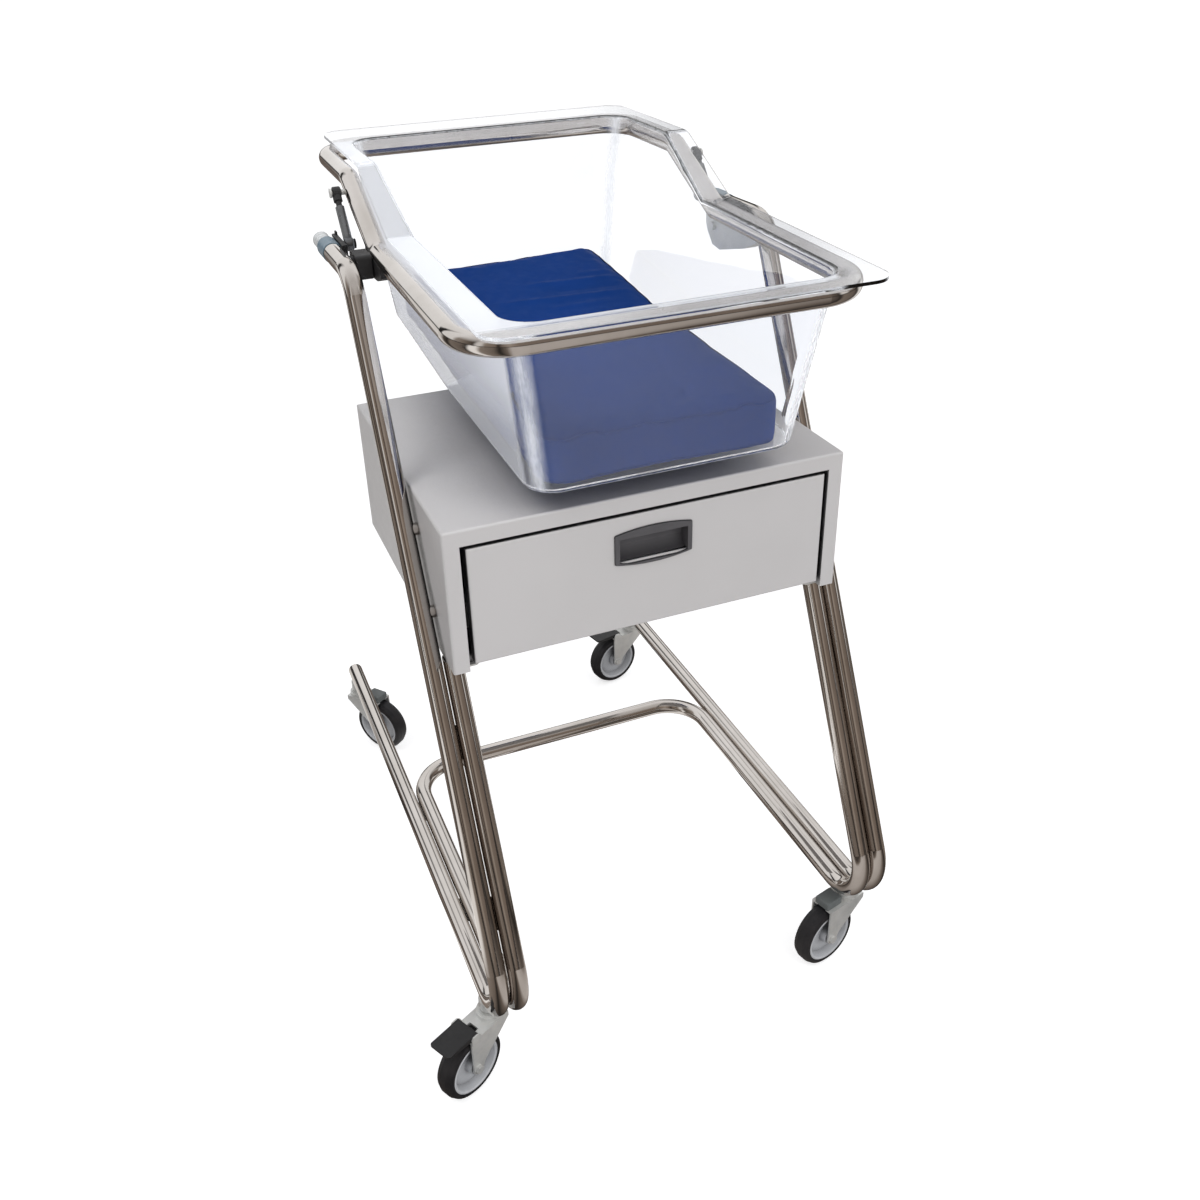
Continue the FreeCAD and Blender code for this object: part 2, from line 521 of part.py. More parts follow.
# ---------------------------------------------------------------------------
# tilt struts
# ---------------------------------------------------------------------------
studs_low, studs_up = [], []
dy = STRUT_UP[0] - STRUT_LOW[0]
dz = STRUT_UP[1] - STRUT_LOW[1]
STRUT_LEN = math.hypot(dy, dz)
STRUT_TURN = -math.degrees(math.atan2(dy, dz))     # turns local +Z onto the strut
EYE_X0, EYE_X1 = 250.5, 261.0
LOW_PIN_R, UP_PIN_R, UP_BORE_R = 4.0, 2.6, 4.2
for side, s in (("left", -1.0), ("right", 1.0)):
    # stud and strap on the handle
    strap = box(*sorted((s * 262.8, s * 269.0)), 524.0, 592.0, 1017.0, 1033.0).cut(SIDE_BAR[s])
    strap = min(strap.Solids, key=lambda q: abs(q.CenterOfMass.x))
    strap = strap.cut(cyl((s * OUTER_X, 537.0, handle_point(537.0)), (0, h_dir.y, h_dir.z), BAND_R, 60.0))
    strap = max(strap.Solids, key=lambda q: q.Volume)
    hook = box(*sorted((s * 262.8, s * 265.2)), 584.0, 592.0, 1022.0, 1037.0)
    hook = fillet_where(hook, 1.0, lambda e: mid(e).z > 1036.9)
    pin = cyl((s * 249.0, STRUT_LOW[0], STRUT_LOW[1]), (s, 0, 0), LOW_PIN_R, 14.0)
    cap = cyl((s * 247.6, STRUT_LOW[0], STRUT_LOW[1]), (s, 0, 0), 6.0, 2.2)
    studs_low.append(one(strap.fuse([hook, pin, cap])))
    # stud on the ring
    ring_z = along_line(RING_BEND1, RING_BEND2, STRUT_UP[0])
    up = cyl((s * 238.0, STRUT_UP[0], STRUT_UP[1]), (s, 0, 0), UP_PIN_R, 26.0)
    col = cyl((s * 238.0, STRUT_UP[0], STRUT_UP[1]), (s, 0, 0), 3.6, 11.4)
    cap = cyl((s * 262.2, STRUT_UP[0], STRUT_UP[1]), (s, 0, 0), 6.0, 2.2)
    st = up.fuse([col, cap]).cut(RING_BAR)
    st = max(st.Solids, key=lambda q: abs(q.CenterOfMass.x))
    studs_up.append(one(st))

    # damper cylinder, drawn along +Z from the lower eye
    eye = cyl((s * EYE_X0, 0, 0), (s, 0, 0), 8.5, EYE_X1 - EYE_X0)
    eye = fillet_where(eye, 2.0, lambda e: e.Length > 40)
    barrel = cyl((s * STRUT_X, 0, 4.0), (0, 0, 1), 5.7, 47.6)
    barrel = fillet_where(barrel, 0.8, lambda e: e.Length > 30 and mid(e).z > 50)
    b = eye.fuse(barrel)
    b = b.cut(cyl((s * STRUT_X, 0, 14.0), (0, 0, 1), 4.2, 60.0))
    b = b.cut(cyl((s * 240.0, 0, 0), (s, 0, 0), LOW_PIN_R + RUN_CLEAR, 40.0))
    b.rotate(V(0, 0, 0), X_AXIS, STRUT_TURN)
    b.translate(V(0, STRUT_LOW[0], STRUT_LOW[1]))
    OUT["strut_cylinder_" + side] = one(b)

    # rod with its upper eye
    r = cyl((s * STRUT_X, 0, 31.0), (0, 0, 1), 3.8, 33.0)
    cuff = cyl((s * STRUT_X, 0, 59.2), (0, 0, 1), 5.7, 8.0)
    eye = cyl((s * (EYE_X0 - 0.2), 0, STRUT_LEN), (s, 0, 0), 7.6, EYE_X1 - EYE_X0)
    eye = fillet_where(eye, 1.6, lambda e: e.Length > 40)
    r = r.fuse([cuff, eye])
    r = r.cut(cyl((s * 240.0, 0, STRUT_LEN), (s, 0, 0), UP_BORE_R, 40.0))
    r.rotate(V(0, 0, 0), X_AXIS, STRUT_TURN)
    r.translate(V(0, STRUT_LOW[0], STRUT_LOW[1]))
    OUT["strut_rod_" + side] = max(one(r).Solids, key=lambda q: q.Volume)
OUT["strut_studs_lower"] = group(studs_low)
OUT["strut_studs_upper"] = group(studs_up)


# ---------------------------------------------------------------------------
# tub
# ---------------------------------------------------------------------------
def rrect_wire(x0, x1, y0, y1, r, z):
    k = r * (1.0 - math.sqrt(0.5))
    e = [
        Part.makeLine(V(x0 + r, y0, z), V(x1 - r, y0, z)),
        Part.Arc(V(x1 - r, y0, z), V(x1 - k, y0 + k, z), V(x1, y0 + r, z)).toShape(),
        Part.makeLine(V(x1, y0 + r, z), V(x1, y1 - r, z)),
        Part.Arc(V(x1, y1 - r, z), V(x1 - k, y1 - k, z), V(x1 - r, y1, z)).toShape(),
        Part.makeLine(V(x1 - r, y1, z), V(x0 + r, y1, z)),
        Part.Arc(V(x0 + r, y1, z), V(x0 + k, y1 - k, z), V(x0, y1 - r, z)).toShape(),
        Part.makeLine(V(x0, y1 - r, z), V(x0, y0 + r, z)),
        Part.Arc(V(x0, y0 + r, z), V(x0 + k, y0 + k, z), V(x0 + r, y0, z)).toShape(),
    ]
    return Part.Wire(e)


def tub_section(z, inset):
    half = TUB_HALF + TUB_DRAFT * (z - 825.0) - inset
    yf = FLOOR_FRONT[0] - 0.1495 * (z - FLOOR_FRONT[1]) + inset
    yr = FLOOR_REAR[0] + 0.0783 * (z - FLOOR_REAR[1]) - inset
    return rrect_wire(TUB_CX - half, TUB_CX + half, yf, yr, TUB_CORNER_R - inset * 0.6, z)


def bent_region(pts, radii, top, x0, x1):
    """Everything above a round-cornered (y, z) line, up to z = top."""
    edges = []
    prev = V(x0, *pts[0])
    p3 = [V(x0, *p) for p in pts]
    for i in range(1, len(p3) - 1):
        d1 = (p3[i] - p3[i - 1]).normalize()
        d2 = (p3[i + 1] - p3[i]).normalize()
        phi = math.acos(max(-1.0, min(1.0, d1.dot(d2))))
        r = radii[i - 1]
        t = r * math.tan(phi / 2.0)
        a = p3[i] - d1 * t
        b = p3[i] + d2 * t
        bis = (d2 - d1).normalize()
        c = p3[i] + bis * (r / math.cos(phi / 2.0))
        m = c - bis * r
        edges.append(Part.makeLine(prev, a))
        edges.append(Part.Arc(a, m, b).toShape())
        prev = b
    edges.append(Part.makeLine(prev, p3[-1]))
    a, b = p3[-1], p3[0]
    edges.append(Part.makeLine(a, V(x0, a.y, top)))
    edges.append(Part.makeLine(V(x0, a.y, top), V(x0, b.y, top)))
    edges.append(Part.makeLine(V(x0, b.y, top), b))
    return Part.Face(Part.Wire(edges)).extrude(V(x1 - x0, 0, 0))


def extend(p, q, y):
    return (y, along_line(p, q, y))


def floor_line(up):
    a = extend(FLOOR_FRONT, FLOOR_BEND, 40.0)
    c = extend(FLOOR_BEND, FLOOR_REAR, 900.0)
    return [(a[0], a[1] + up), (FLOOR_BEND[0], FLOOR_BEND[1] + up), (c[0], c[1] + up)]


def pan_solid(inset, up, edge_r):
    loft = Part.makeLoft([tub_section(780.0, inset), tub_section(1150.0, inset)], True, True)
    region = bent_region(floor_line(up), [300.0], 1145.0, -400.0, 400.0)
    p = loft.common(region)
    p = max(p.Solids, key=lambda q: q.Volume)
    low = []
    for e in p.Edges:
        m = mid(e)
        if m.y < FLOOR_BEND[0]:
            zf = along_line(FLOOR_FRONT, FLOOR_BEND, m.y) + up
        else:
            zf = along_line(FLOOR_BEND, FLOOR_REAR, m.y) + up
        near_wall = abs(m.x - TUB_CX) > 120.0 or m.y < 200.0 or m.y > 700.0
        if abs(m.z - zf) < 1.2 and near_wall:
            low.append(e)
    return p.makeFillet(edge_r, low)


def offset_line(pts, d):
    """Round-cornered line (y, z) moved d to its upper left side: vertices only."""
    out = []
    n = len(pts)
    for i in range(n):
        if i == 0:
            u = (pts[1][0] - pts[0][0], pts[1][1] - pts[0][1])
            v = u
        elif i == n - 1:
            u = (pts[-1][0] - pts[-2][0], pts[-1][1] - pts[-2][1])
            v = u
        else:
            u = (pts[i][0] - pts[i - 1][0], pts[i][1] - pts[i - 1][1])
            v = (pts[i + 1][0] - pts[i][0], pts[i + 1][1] - pts[i][1])
        lu, lv = math.hypot(*u), math.hypot(*v)
        nu = (-u[1] / lu, u[0] / lu)
        nv = (-v[1] / lv, v[0] / lv)
        bx, bz = nu[0] + nv[0], nu[1] + nv[1]
        k = 2.0 / (bx * bx + bz * bz)
        out.append((pts[i][0] + bx * k * d, pts[i][1] + bz * k * d))
    return out


ring_line = [extend(RING_FRONT, RING_BEND1, 20.0), RING_BEND1, RING_BEND2, extend(RING_BEND2, RING_REAR, 920.0)]
low_line = offset_line(ring_line, FLANGE_GAP)
top_line = offset_line(ring_line, FLANGE_GAP + FLANGE_T)
above_low = bent_region(low_line, [RING_BEND_R - FLANGE_GAP, RING_BEND_R + FLANGE_GAP], 1300.0, -400.0, 400.0)
above_top = bent_region(top_line, [RING_BEND_R - FLANGE_GAP - FLANGE_T, RING_BEND_R + FLANGE_GAP + FLANGE_T],
                        1400.0, -410.0, 410.0)
plan = Part.Face(rrect_wire(FLANGE_X0, FLANGE_X1, FLANGE_Y0, FLANGE_Y1,
                            FLANGE_CORNER_R, 900.0)).extrude(V(0, 0, 300.0))
sheet = plan.common(above_low).cut(above_top)
outer_pan = pan_solid(0.0, 0.0, TUB_EDGE_R).cut(above_top)
inner_pan = pan_solid(TUB_WALL, TUB_WALL, TUB_EDGE_R - TUB_WALL)
tub = one(outer_pan.fuse(sheet).cut(inner_pan))
hollow = inner_pan.Shells[0]
mouth = [e for e in tub.Edges if mid(e).z > 1030.0 and hollow.distToShape(Part.Vertex(mid(e)))[0] < 0.01]
tub = tub.makeFillet(MOUTH_R, mouth)
OUT["tub"] = one(tub)

# ---------------------------------------------------------------------------
# mattress
# ---------------------------------------------------------------------------
base_line = floor_line(TUB_WALL + PAD_LIFT)
top_pad = floor_line(TUB_WALL + PAD_LIFT + PAD_T)
pad = bent_region(base_line, [300.0], 1000.0, -300.0, 300.0)
pad = pad.cut(bent_region(top_pad, [300.0], 1100.0, -400.0, 400.0))
plan = Part.makePolygon([V(x, y, 780.0) for x, y in PAD_PLAN + PAD_PLAN[:1]])
pad = pad.common(Part.Face(plan).extrude(V(0, 0, 300.0)))
pad = max(pad.Solids, key=lambda q: q.Volume)
upright = [e for e in pad.Edges if abs(e.tangentAt(e.FirstParameter).z) > 0.9]
pad = pad.makeFillet(PAD_FRONT_R, [e for e in upright if mid(e).y < 400.0])
upright = [e for e in pad.Edges if abs(e.tangentAt(e.FirstParameter).z) > 0.9 and e.Length > 40.0]
pad = pad.makeFillet(PAD_REAR_R, [e for e in upright if mid(e).y > 700.0])
pad = pad.makeFillet(PAD_EDGE_R, [e for e in pad.Edges if abs(e.tangentAt(e.FirstParameter).z) < 0.5 and
                                  not (abs(mid(e).x) < 100.0 and 200.0 < mid(e).y < 700.0)])
OUT["mattress"] = one(pad)

# ---------------------------------------------------------------------------
# castors, drawn with the stem at the origin and the wheel trailing along +X
# ---------------------------------------------------------------------------
ARM_IN, ARM_OUT = 16.2, 18.8


def castor_fork():
    parts = []
    for s in (-1.0, 1.0):
        ya, yb2 = sorted((s * ARM_IN, s * ARM_OUT))
        w = Part.makePolygon([V(-16, ya, 106.5), V(53, ya, 106.5), V(53, ya, 50), V(37, ya, 46),
                              V(32, ya, 56), V(-16, ya, 98), V(-16, ya, 106.5)])
        arm = Part.Face(w).extrude(V(0, yb2 - ya, 0))
        arm = arm.fuse(cyl((TRAIL, ya, WHEEL_R), (0, 1, 0), 8.6, yb2 - ya))
        parts.append(arm)
    crown = box(-16, 53, -ARM_OUT, ARM_OUT, 103.6, 106.6)
    crown = crown.cut(box(30, 60, -8, 8, 100, 110))
    head = cyl((0, 0, 106.6), (0, 0, 1), 18.5, 6.0)
    head = head.fuse(cyl((0, 0, 112.6), (0, 0, 1), 16.0, 3.4))
    parts += [crown, head]
    stem = cyl((0, 0, 104.0), (0, 0, 1), STEM_R, 44.0)
    clip = cyl((0, 0, 148.0), (0, 0, 1), 8.0, 1.6)
    axle = cyl((TRAIL, -21.0, WHEEL_R), (0, 1, 0), 4.0, 42.0)
    nuts = []
    for s in (-1.0, 1.0):
        ya, yb2 = sorted((s * ARM_OUT, s * 22.6))
        hexa = [V(TRAIL + 6.6 * math.cos(math.radians(60 * i)), ya, WHEEL_R + 6.6 * math.sin(math.radians(60 * i)))
                for i in range(6)]
        nuts.append(Part.Face(Part.makePolygon(hexa + [hexa[0]])).extrude(V(0, yb2 - ya, 0)))
    f = fuse(parts + [stem, clip, axle] + nuts)
    return one(f)


def castor_tyre():
    pts = [(RIM_R, -TYRE_W / 2.0 + 1.0), (RIM_R + 3.0, -TYRE_W / 2.0), (WHEEL_R - 2.6, -TYRE_W / 2.0 + 2.6),
           (WHEEL_R, -TYRE_W / 2.0 + 9.0), (WHEEL_R, TYRE_W / 2.0 - 9.0), (WHEEL_R - 2.6, TYRE_W / 2.0 - 2.6),
           (RIM_R + 3.0, TYRE_W / 2.0), (RIM_R, TYRE_W / 2.0 - 1.0)]
    w = Part.makePolygon([V(r, y, 0) for r, y in pts] + [V(pts[0][0], pts[0][1], 0)])
    t = Part.Face(w).revolve(V(0, 0, 0), Y_AXIS, 360)
    t.translate(V(TRAIL, 0, WHEEL_R))
    return t


def castor_rim():
    h = TYRE_W / 2.0
    pts = [(4.0 + RUN_CLEAR, -14.0), (11.0, -14.0), (12.5, -4.2), (32.0, -2.6), (36.2, -h + 1.8), (38.2, -h + 0.4),
           (RIM_R, -h + 1.2), (RIM_R, h - 1.2), (38.2, h - 0.4), (36.2, h - 1.8), (32.0, 2.6), (12.5, 4.2),
           (11.0, 14.0), (4.0 + RUN_CLEAR, 14.0)]
    w = Part.makePolygon([V(r, y, 0) for r, y in pts] + [V(pts[0][0], pts[0][1], 0)])
    t = Part.Face(w).revolve(V(0, 0, 0), Y_AXIS, 360)
    t.translate(V(TRAIL, 0, WHEEL_R))
    return t


PEDAL_PIVOT_X, PEDAL_PIVOT_Z = 46.0, 110.6


def castor_pedal():
    """Brake pedal: tread plate, two cheeks and a cross pin in its bush."""
    tread = box(50, 93, -18, 18, 113.2, 116.2)
    tread = fillet_where(tread, 4.0, lambda e: abs(e.Length - 3.0) < 0.01 and mid(e).x > 90)
    root = box(40, 52, -18, 18, 108.4, 116.2)
    root = fillet_where(root, 2.0, lambda e: abs(e.Length - 36.0) < 0.01 and mid(e).x < 41)
    ribs = [prism_xz([(50, 108.4), (50, 114), (88, 114), (88, 112)], y0, y0 + 2.5) for y0 in (-18.0, 15.5)]
    p = fuse([tread, root] + ribs)
    return one(p.cut(cyl((PEDAL_PIVOT_X, -30, PEDAL_PIVOT_Z + 1.4), (0, 1, 0), 2.5 + RUN_CLEAR, 60.0)))


def prism_xz(pts, y0, y1):
    w = Part.makePolygon([V(x, y0, z) for x, z in pts] + [V(pts[0][0], y0, pts[0][1])])
    return Part.Face(w).extrude(V(0, y1 - y0, 0))


def pedal_ears():
    """Ears on the crown that hold the pedal's pin."""
    out = []
    for s in (-1.0, 1.0):
        ya, yb2 = sorted((s * 18.6, s * 20.6))
        ear = prism_xz([(34, 103.6), (53, 103.6), (53, 112), (50, 116), (42, 116), (36, 110)], ya, yb2)
        out.append(ear)
    out.append(cyl((PEDAL_PIVOT_X, -20.6, PEDAL_PIVOT_Z + 1.4), (0, 1, 0), 2.5, 41.2))
    return out


def castor_cover():
    """Closed crown block of a castor without a brake."""
    c = box(24, 54, -13, 13, 106.6, 118.0)
    c = fillet_where(c, 2.5, lambda e: mid(e).z > 117.9 or abs(e.Length - 11.4) < 0.01)
    return one(c.cut(cyl((0, 0, 100), (0, 0, 1), 18.6, 30.0)))


def place(shape, sx, sy, ang):
    s = shape.copy()
    s.rotate(V(0, 0, 0), Z_AXIS, ang)
    s.translate(V(sx, sy, 0))
    return s


fork_plain = castor_fork()
fork_brake = one(fork_plain.fuse(pedal_ears()))
tyre, wheel_rim, pedal, cover = castor_tyre(), castor_rim(), castor_pedal(), castor_cover()
for name, sx, sy, ang, brake in CASTORS:
    OUT["castor_fork_" + name] = place(fork_brake if brake else fork_plain, sx, sy, ang)
    OUT["wheel_rim_" + name] = place(wheel_rim, sx, sy, ang)
    OUT["wheel_tyre_" + name] = place(tyre, sx, sy, ang)
    if brake:
        OUT["brake_pedal_" + name] = place(pedal, sx, sy, ang)
    else:
        OUT["castor_cover_" + name] = place(cover, sx, sy, ang)

# ---------------------------------------------------------------------------
# move to the origin and write the files
# ---------------------------------------------------------------------------
os.makedirs("parts", exist_ok=True)
total = None
for name in sorted(OUT):
    shape = OUT[name]
    shape.translate(V(SHIFT_X, SHIFT_Y, 0))
    if not shape.isValid() or not shape.Solids:
        print("BAD", name, shape.isValid(), len(shape.Solids))
    shape.exportStep("parts/" + name + ".step")
    bb = shape.BoundBox
    if total is None:
        total = FreeCAD.BoundBox(bb)
    else:
        total.add(bb)
    print("%-28s solids %d vol %9.0f  x %7.1f %7.1f  y %7.1f %7.1f  z %7.1f %7.1f" % (
        name, len(shape.Solids), shape.Volume, bb.XMin, bb.XMax, bb.YMin, bb.YMax, bb.ZMin, bb.ZMax))
print("files", len(OUT))
print("total x %.2f %.2f y %.2f %.2f z %.2f %.2f" % (total.XMin, total.XMax, total.YMin, total.YMax,
                                                  total.ZMin, total.ZMax))
print("centre %.3f %.3f" % ((total.XMin + total.XMax) / 2.0, (total.YMin + total.YMax) / 2.0))
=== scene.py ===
import json
import math

import bpy
import numpy as np
from mathutils import Matrix, Vector


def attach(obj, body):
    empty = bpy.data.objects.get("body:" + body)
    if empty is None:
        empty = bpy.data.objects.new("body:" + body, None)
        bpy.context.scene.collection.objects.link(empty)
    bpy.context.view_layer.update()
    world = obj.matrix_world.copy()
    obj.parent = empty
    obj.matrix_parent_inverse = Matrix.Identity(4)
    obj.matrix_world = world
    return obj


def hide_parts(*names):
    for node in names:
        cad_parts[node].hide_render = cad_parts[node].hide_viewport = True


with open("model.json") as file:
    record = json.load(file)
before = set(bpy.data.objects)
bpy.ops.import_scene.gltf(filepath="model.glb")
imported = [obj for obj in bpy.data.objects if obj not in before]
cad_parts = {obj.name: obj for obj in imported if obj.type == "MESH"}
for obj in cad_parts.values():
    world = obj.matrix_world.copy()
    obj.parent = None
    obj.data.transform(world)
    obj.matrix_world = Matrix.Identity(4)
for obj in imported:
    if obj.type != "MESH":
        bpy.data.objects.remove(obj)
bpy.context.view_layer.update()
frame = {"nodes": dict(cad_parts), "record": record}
NODES = frame["nodes"]
scene = bpy.context.scene
scene.view_settings.view_transform = "Standard"
scene.view_settings.look = "None"
scene.view_settings.exposure = 0.0
scene.view_settings.gamma = 1.0

# ---------------------------------------------------------------------------
# camera
# ---------------------------------------------------------------------------
CAM_POS = Vector((-0.49279, -1.43893, 1.40077))
YAW, PITCH, ROLL = math.radians(-20.76), math.radians(-29.75), math.radians(-1.98)


def make_camera():
    right0 = Vector((math.cos(YAW), math.sin(YAW), 0.0))
    fwd = Vector((-math.sin(YAW) * math.cos(PITCH), math.cos(YAW) * math.cos(PITCH), math.sin(PITCH)))
    up0 = right0.cross(fwd)
    right = right0 * math.cos(ROLL) + up0 * math.sin(ROLL)
    up = up0 * math.cos(ROLL) - right0 * math.sin(ROLL)
    cam = bpy.data.cameras.new("camera")
    cam.sensor_width = 36.0
    cam.lens = 35.29
    cam.shift_x = 0.01488
    cam.shift_y = -0.02452
    cam.clip_start, cam.clip_end = 0.02, 200.0
    ob = bpy.data.objects.new("camera", cam)
    m = Matrix.Identity(4)
    for i, col in enumerate((right, up, -fwd)):
        for k in range(3):
            m[k][i] = col[k]
    m.translation = CAM_POS
    ob.matrix_world = m
    scene.collection.objects.link(ob)
    scene.camera = ob


make_camera()


# ---------------------------------------------------------------------------
# node helpers
# ---------------------------------------------------------------------------
class Graph:
    """A node tree with short calls for its nodes."""

    def __init__(self, tree):
        self.t = tree
        self.n = tree.nodes
        self.l = tree.links

    def add(self, kind, **props):
        node = self.n.new(kind)
        for k, v in props.items():
            setattr(node, k, v)
        return node

    def link(self, a, b):
        self.l.new(a, b)

    def feed(self, socket, value):
        if hasattr(value, "links"):
            self.l.new(value, socket)
        else:
            socket.default_value = value

    def math(self, op, a, b=0.0, c=0.0, clamp=False):
        m = self.add("ShaderNodeMath", operation=op, use_clamp=clamp)
        for s, v in zip(m.inputs, (a, b, c)):
            self.feed(s, v)
        return m.outputs[0]

    def coords(self, scale=(1, 1, 1), rot=(0, 0, 0)):
        tc = self.add("ShaderNodeTexCoord")
        mp = self.add("ShaderNodeMapping")
        mp.inputs["Scale"].default_value = scale
        mp.inputs["Rotation"].default_value = rot
        self.link(tc.outputs["Object"], mp.inputs["Vector"])
        return mp.outputs[0]

    def noise(self, vec, scale, detail=3.0, rough=0.5, distort=0.0):
        t = self.add("ShaderNodeTexNoise")
        self.link(vec, t.inputs["Vector"])
        t.inputs["Scale"].default_value = scale
        t.inputs["Detail"].default_value = detail
        t.inputs["Roughness"].default_value = rough
        t.inputs["Distortion"].default_value = distort
        return t.outputs["Fac"]

    def voronoi(self, vec, scale, feature="F1"):
        t = self.add("ShaderNodeTexVoronoi", feature=feature)
        self.link(vec, t.inputs["Vector"])
        t.inputs["Scale"].default_value = scale
        return t.outputs["Distance"]

    def remap(self, v, a, b, lo, hi):
        m = self.add("ShaderNodeMapRange")
        self.feed(m.inputs["Value"], v)
        for name, x in (("From Min", a), ("From Max", b), ("To Min", lo), ("To Max", hi)):
            m.inputs[name].default_value = x
        return m.outputs["Result"]

    def mix(self, f, a, b):
        m = self.add("ShaderNodeMix", data_type="RGBA")
        self.feed(m.inputs["Factor"], f)
        for s, v in ((m.inputs[6], a), (m.inputs[7], b)):
            self.feed(s, v if hasattr(v, "links") else (*v, 1.0))
        return m.outputs[2]

    def ramp(self, f, stops, mode="LINEAR"):
        r = self.add("ShaderNodeValToRGB")
        cr = r.color_ramp
        cr.interpolation = mode
        while len(cr.elements) > 1:
            cr.elements.remove(cr.elements[-1])
        for i, (p, c) in enumerate(stops):
            e = cr.elements[0] if i == 0 else cr.elements.new(p)
            e.position = p
            e.color = (*c, 1.0) if len(c) == 3 else c
        self.feed(r.inputs["Fac"], f)
        return r.outputs["Color"]

    def bump(self, height, strength, distance=0.001, normal=None):
        b = self.add("ShaderNodeBump")
        b.inputs["Strength"].default_value = strength
        b.inputs["Distance"].default_value = distance
        self.feed(b.inputs["Height"], height)
        if normal is not None:
            self.link(normal, b.inputs["Normal"])
        return b.outputs["Normal"]


def material(name):
    m = bpy.data.materials.new(name)
    m.use_nodes = True
    g = Graph(m.node_tree)
    g.n.clear()
    out = g.add("ShaderNodeOutputMaterial")
    p = g.add("ShaderNodeBsdfPrincipled")
    g.link(p.outputs[0], out.inputs["Surface"])
    return m, g, p


def grey(v):
    return (v, v, v)


# ---------------------------------------------------------------------------
# materials
# ---------------------------------------------------------------------------
def chrome():
    m, g, p = material("look_chrome_tube")
    vec = g.coords()
    cloud = g.noise(vec, 9.0, 4.0, 0.6)
    g.link(g.mix(g.remap(cloud, 0.35, 0.7, 0, 1), (0.64, 0.605, 0.575), (0.54, 0.505, 0.47)), p.inputs["Base Color"])
    p.inputs["Metallic"].default_value = 1.0
    fine = g.noise(vec, 260.0, 4.0, 0.65)
    wide = g.noise(vec, 22.0, 2.0, 0.5)
    g.link(g.math("ADD", g.remap(fine, 0.3, 0.8, 0.035, 0.11), g.remap(wide, 0.35, 0.7, 0.0, 0.05)), p.inputs["Roughness"])
    soft = g.bump(g.noise(vec, 30.0, 1.0, 0.4), 0.10, 0.0006)
    g.link(g.bump(g.noise(vec, 900.0, 2.0, 0.5), 0.03, 0.0002, soft), p.inputs["Normal"])
    return m


def zinc():
    m, g, p = material("look_zinc_steel")
    vec = g.coords()
    spangle = g.voronoi(vec, 130.0)
    cloud = g.noise(vec, 40.0, 4.0, 0.6)
    c = g.mix(g.remap(cloud, 0.3, 0.75, 0, 1), (0.80, 0.81, 0.80), (0.64, 0.65, 0.64))
    g.link(g.mix(g.remap(spangle, 0.1, 0.8, 0.0, 0.3), c, (0.84, 0.83, 0.78)), p.inputs["Base Color"])
    p.inputs["Metallic"].default_value = 0.55
    g.link(g.remap(g.noise(vec, 210.0, 4.0, 0.6), 0.3, 0.75, 0.34, 0.55), p.inputs["Roughness"])
    g.link(g.bump(g.noise(vec, 420.0, 3.0, 0.6), 0.12, 0.0004), p.inputs["Normal"])
    return m


def painted():
    m, g, p = material("look_painted_sheet")
    vec = g.coords()
    cloud = g.noise(vec, 5.0, 3.0, 0.55)
    dust = g.noise(vec, 60.0, 5.0, 0.7)
    c = g.mix(g.remap(cloud, 0.3, 0.7, 0, 1), (0.672, 0.654, 0.650), (0.636, 0.619, 0.614))
    c = g.mix(g.remap(dust, 0.62, 0.85, 0.0, 0.25), c, (0.55, 0.532, 0.515))
    # painted shade: surfaces closed in within 14 mm, as in the gap round the drawer front, are darkened to near black
    ao = g.add("ShaderNodeAmbientOcclusion", samples=6)
    ao.inputs["Distance"].default_value = 0.014
    gap = g.remap(ao.outputs["AO"], 0.38, 0.70, 1.0, 0.0)
    # painted shadow: surfaces with much close above them, as the cabinet top under the tub, are darkened to a blue-grey
    under_tub_shade = g.add("ShaderNodeAmbientOcclusion", samples=6)
    under_tub_shade.inputs["Distance"].default_value = 0.16
    c = g.mix(g.remap(under_tub_shade.outputs["AO"], 0.22, 0.62, 0.75, 0.0), c, (0.15, 0.155, 0.185))
    g.link(g.mix(gap, c, (0.012, 0.011, 0.011)), p.inputs["Base Color"])
    p.inputs["Specular IOR Level"].default_value = 0.5
    g.link(g.remap(g.noise(vec, 90.0, 4.0, 0.6), 0.3, 0.75, 0.30, 0.44), p.inputs["Roughness"])
    peel = g.noise(vec, 420.0, 2.0, 0.45)
    g.link(g.bump(peel, 0.10, 0.0004), p.inputs["Normal"])
    return m


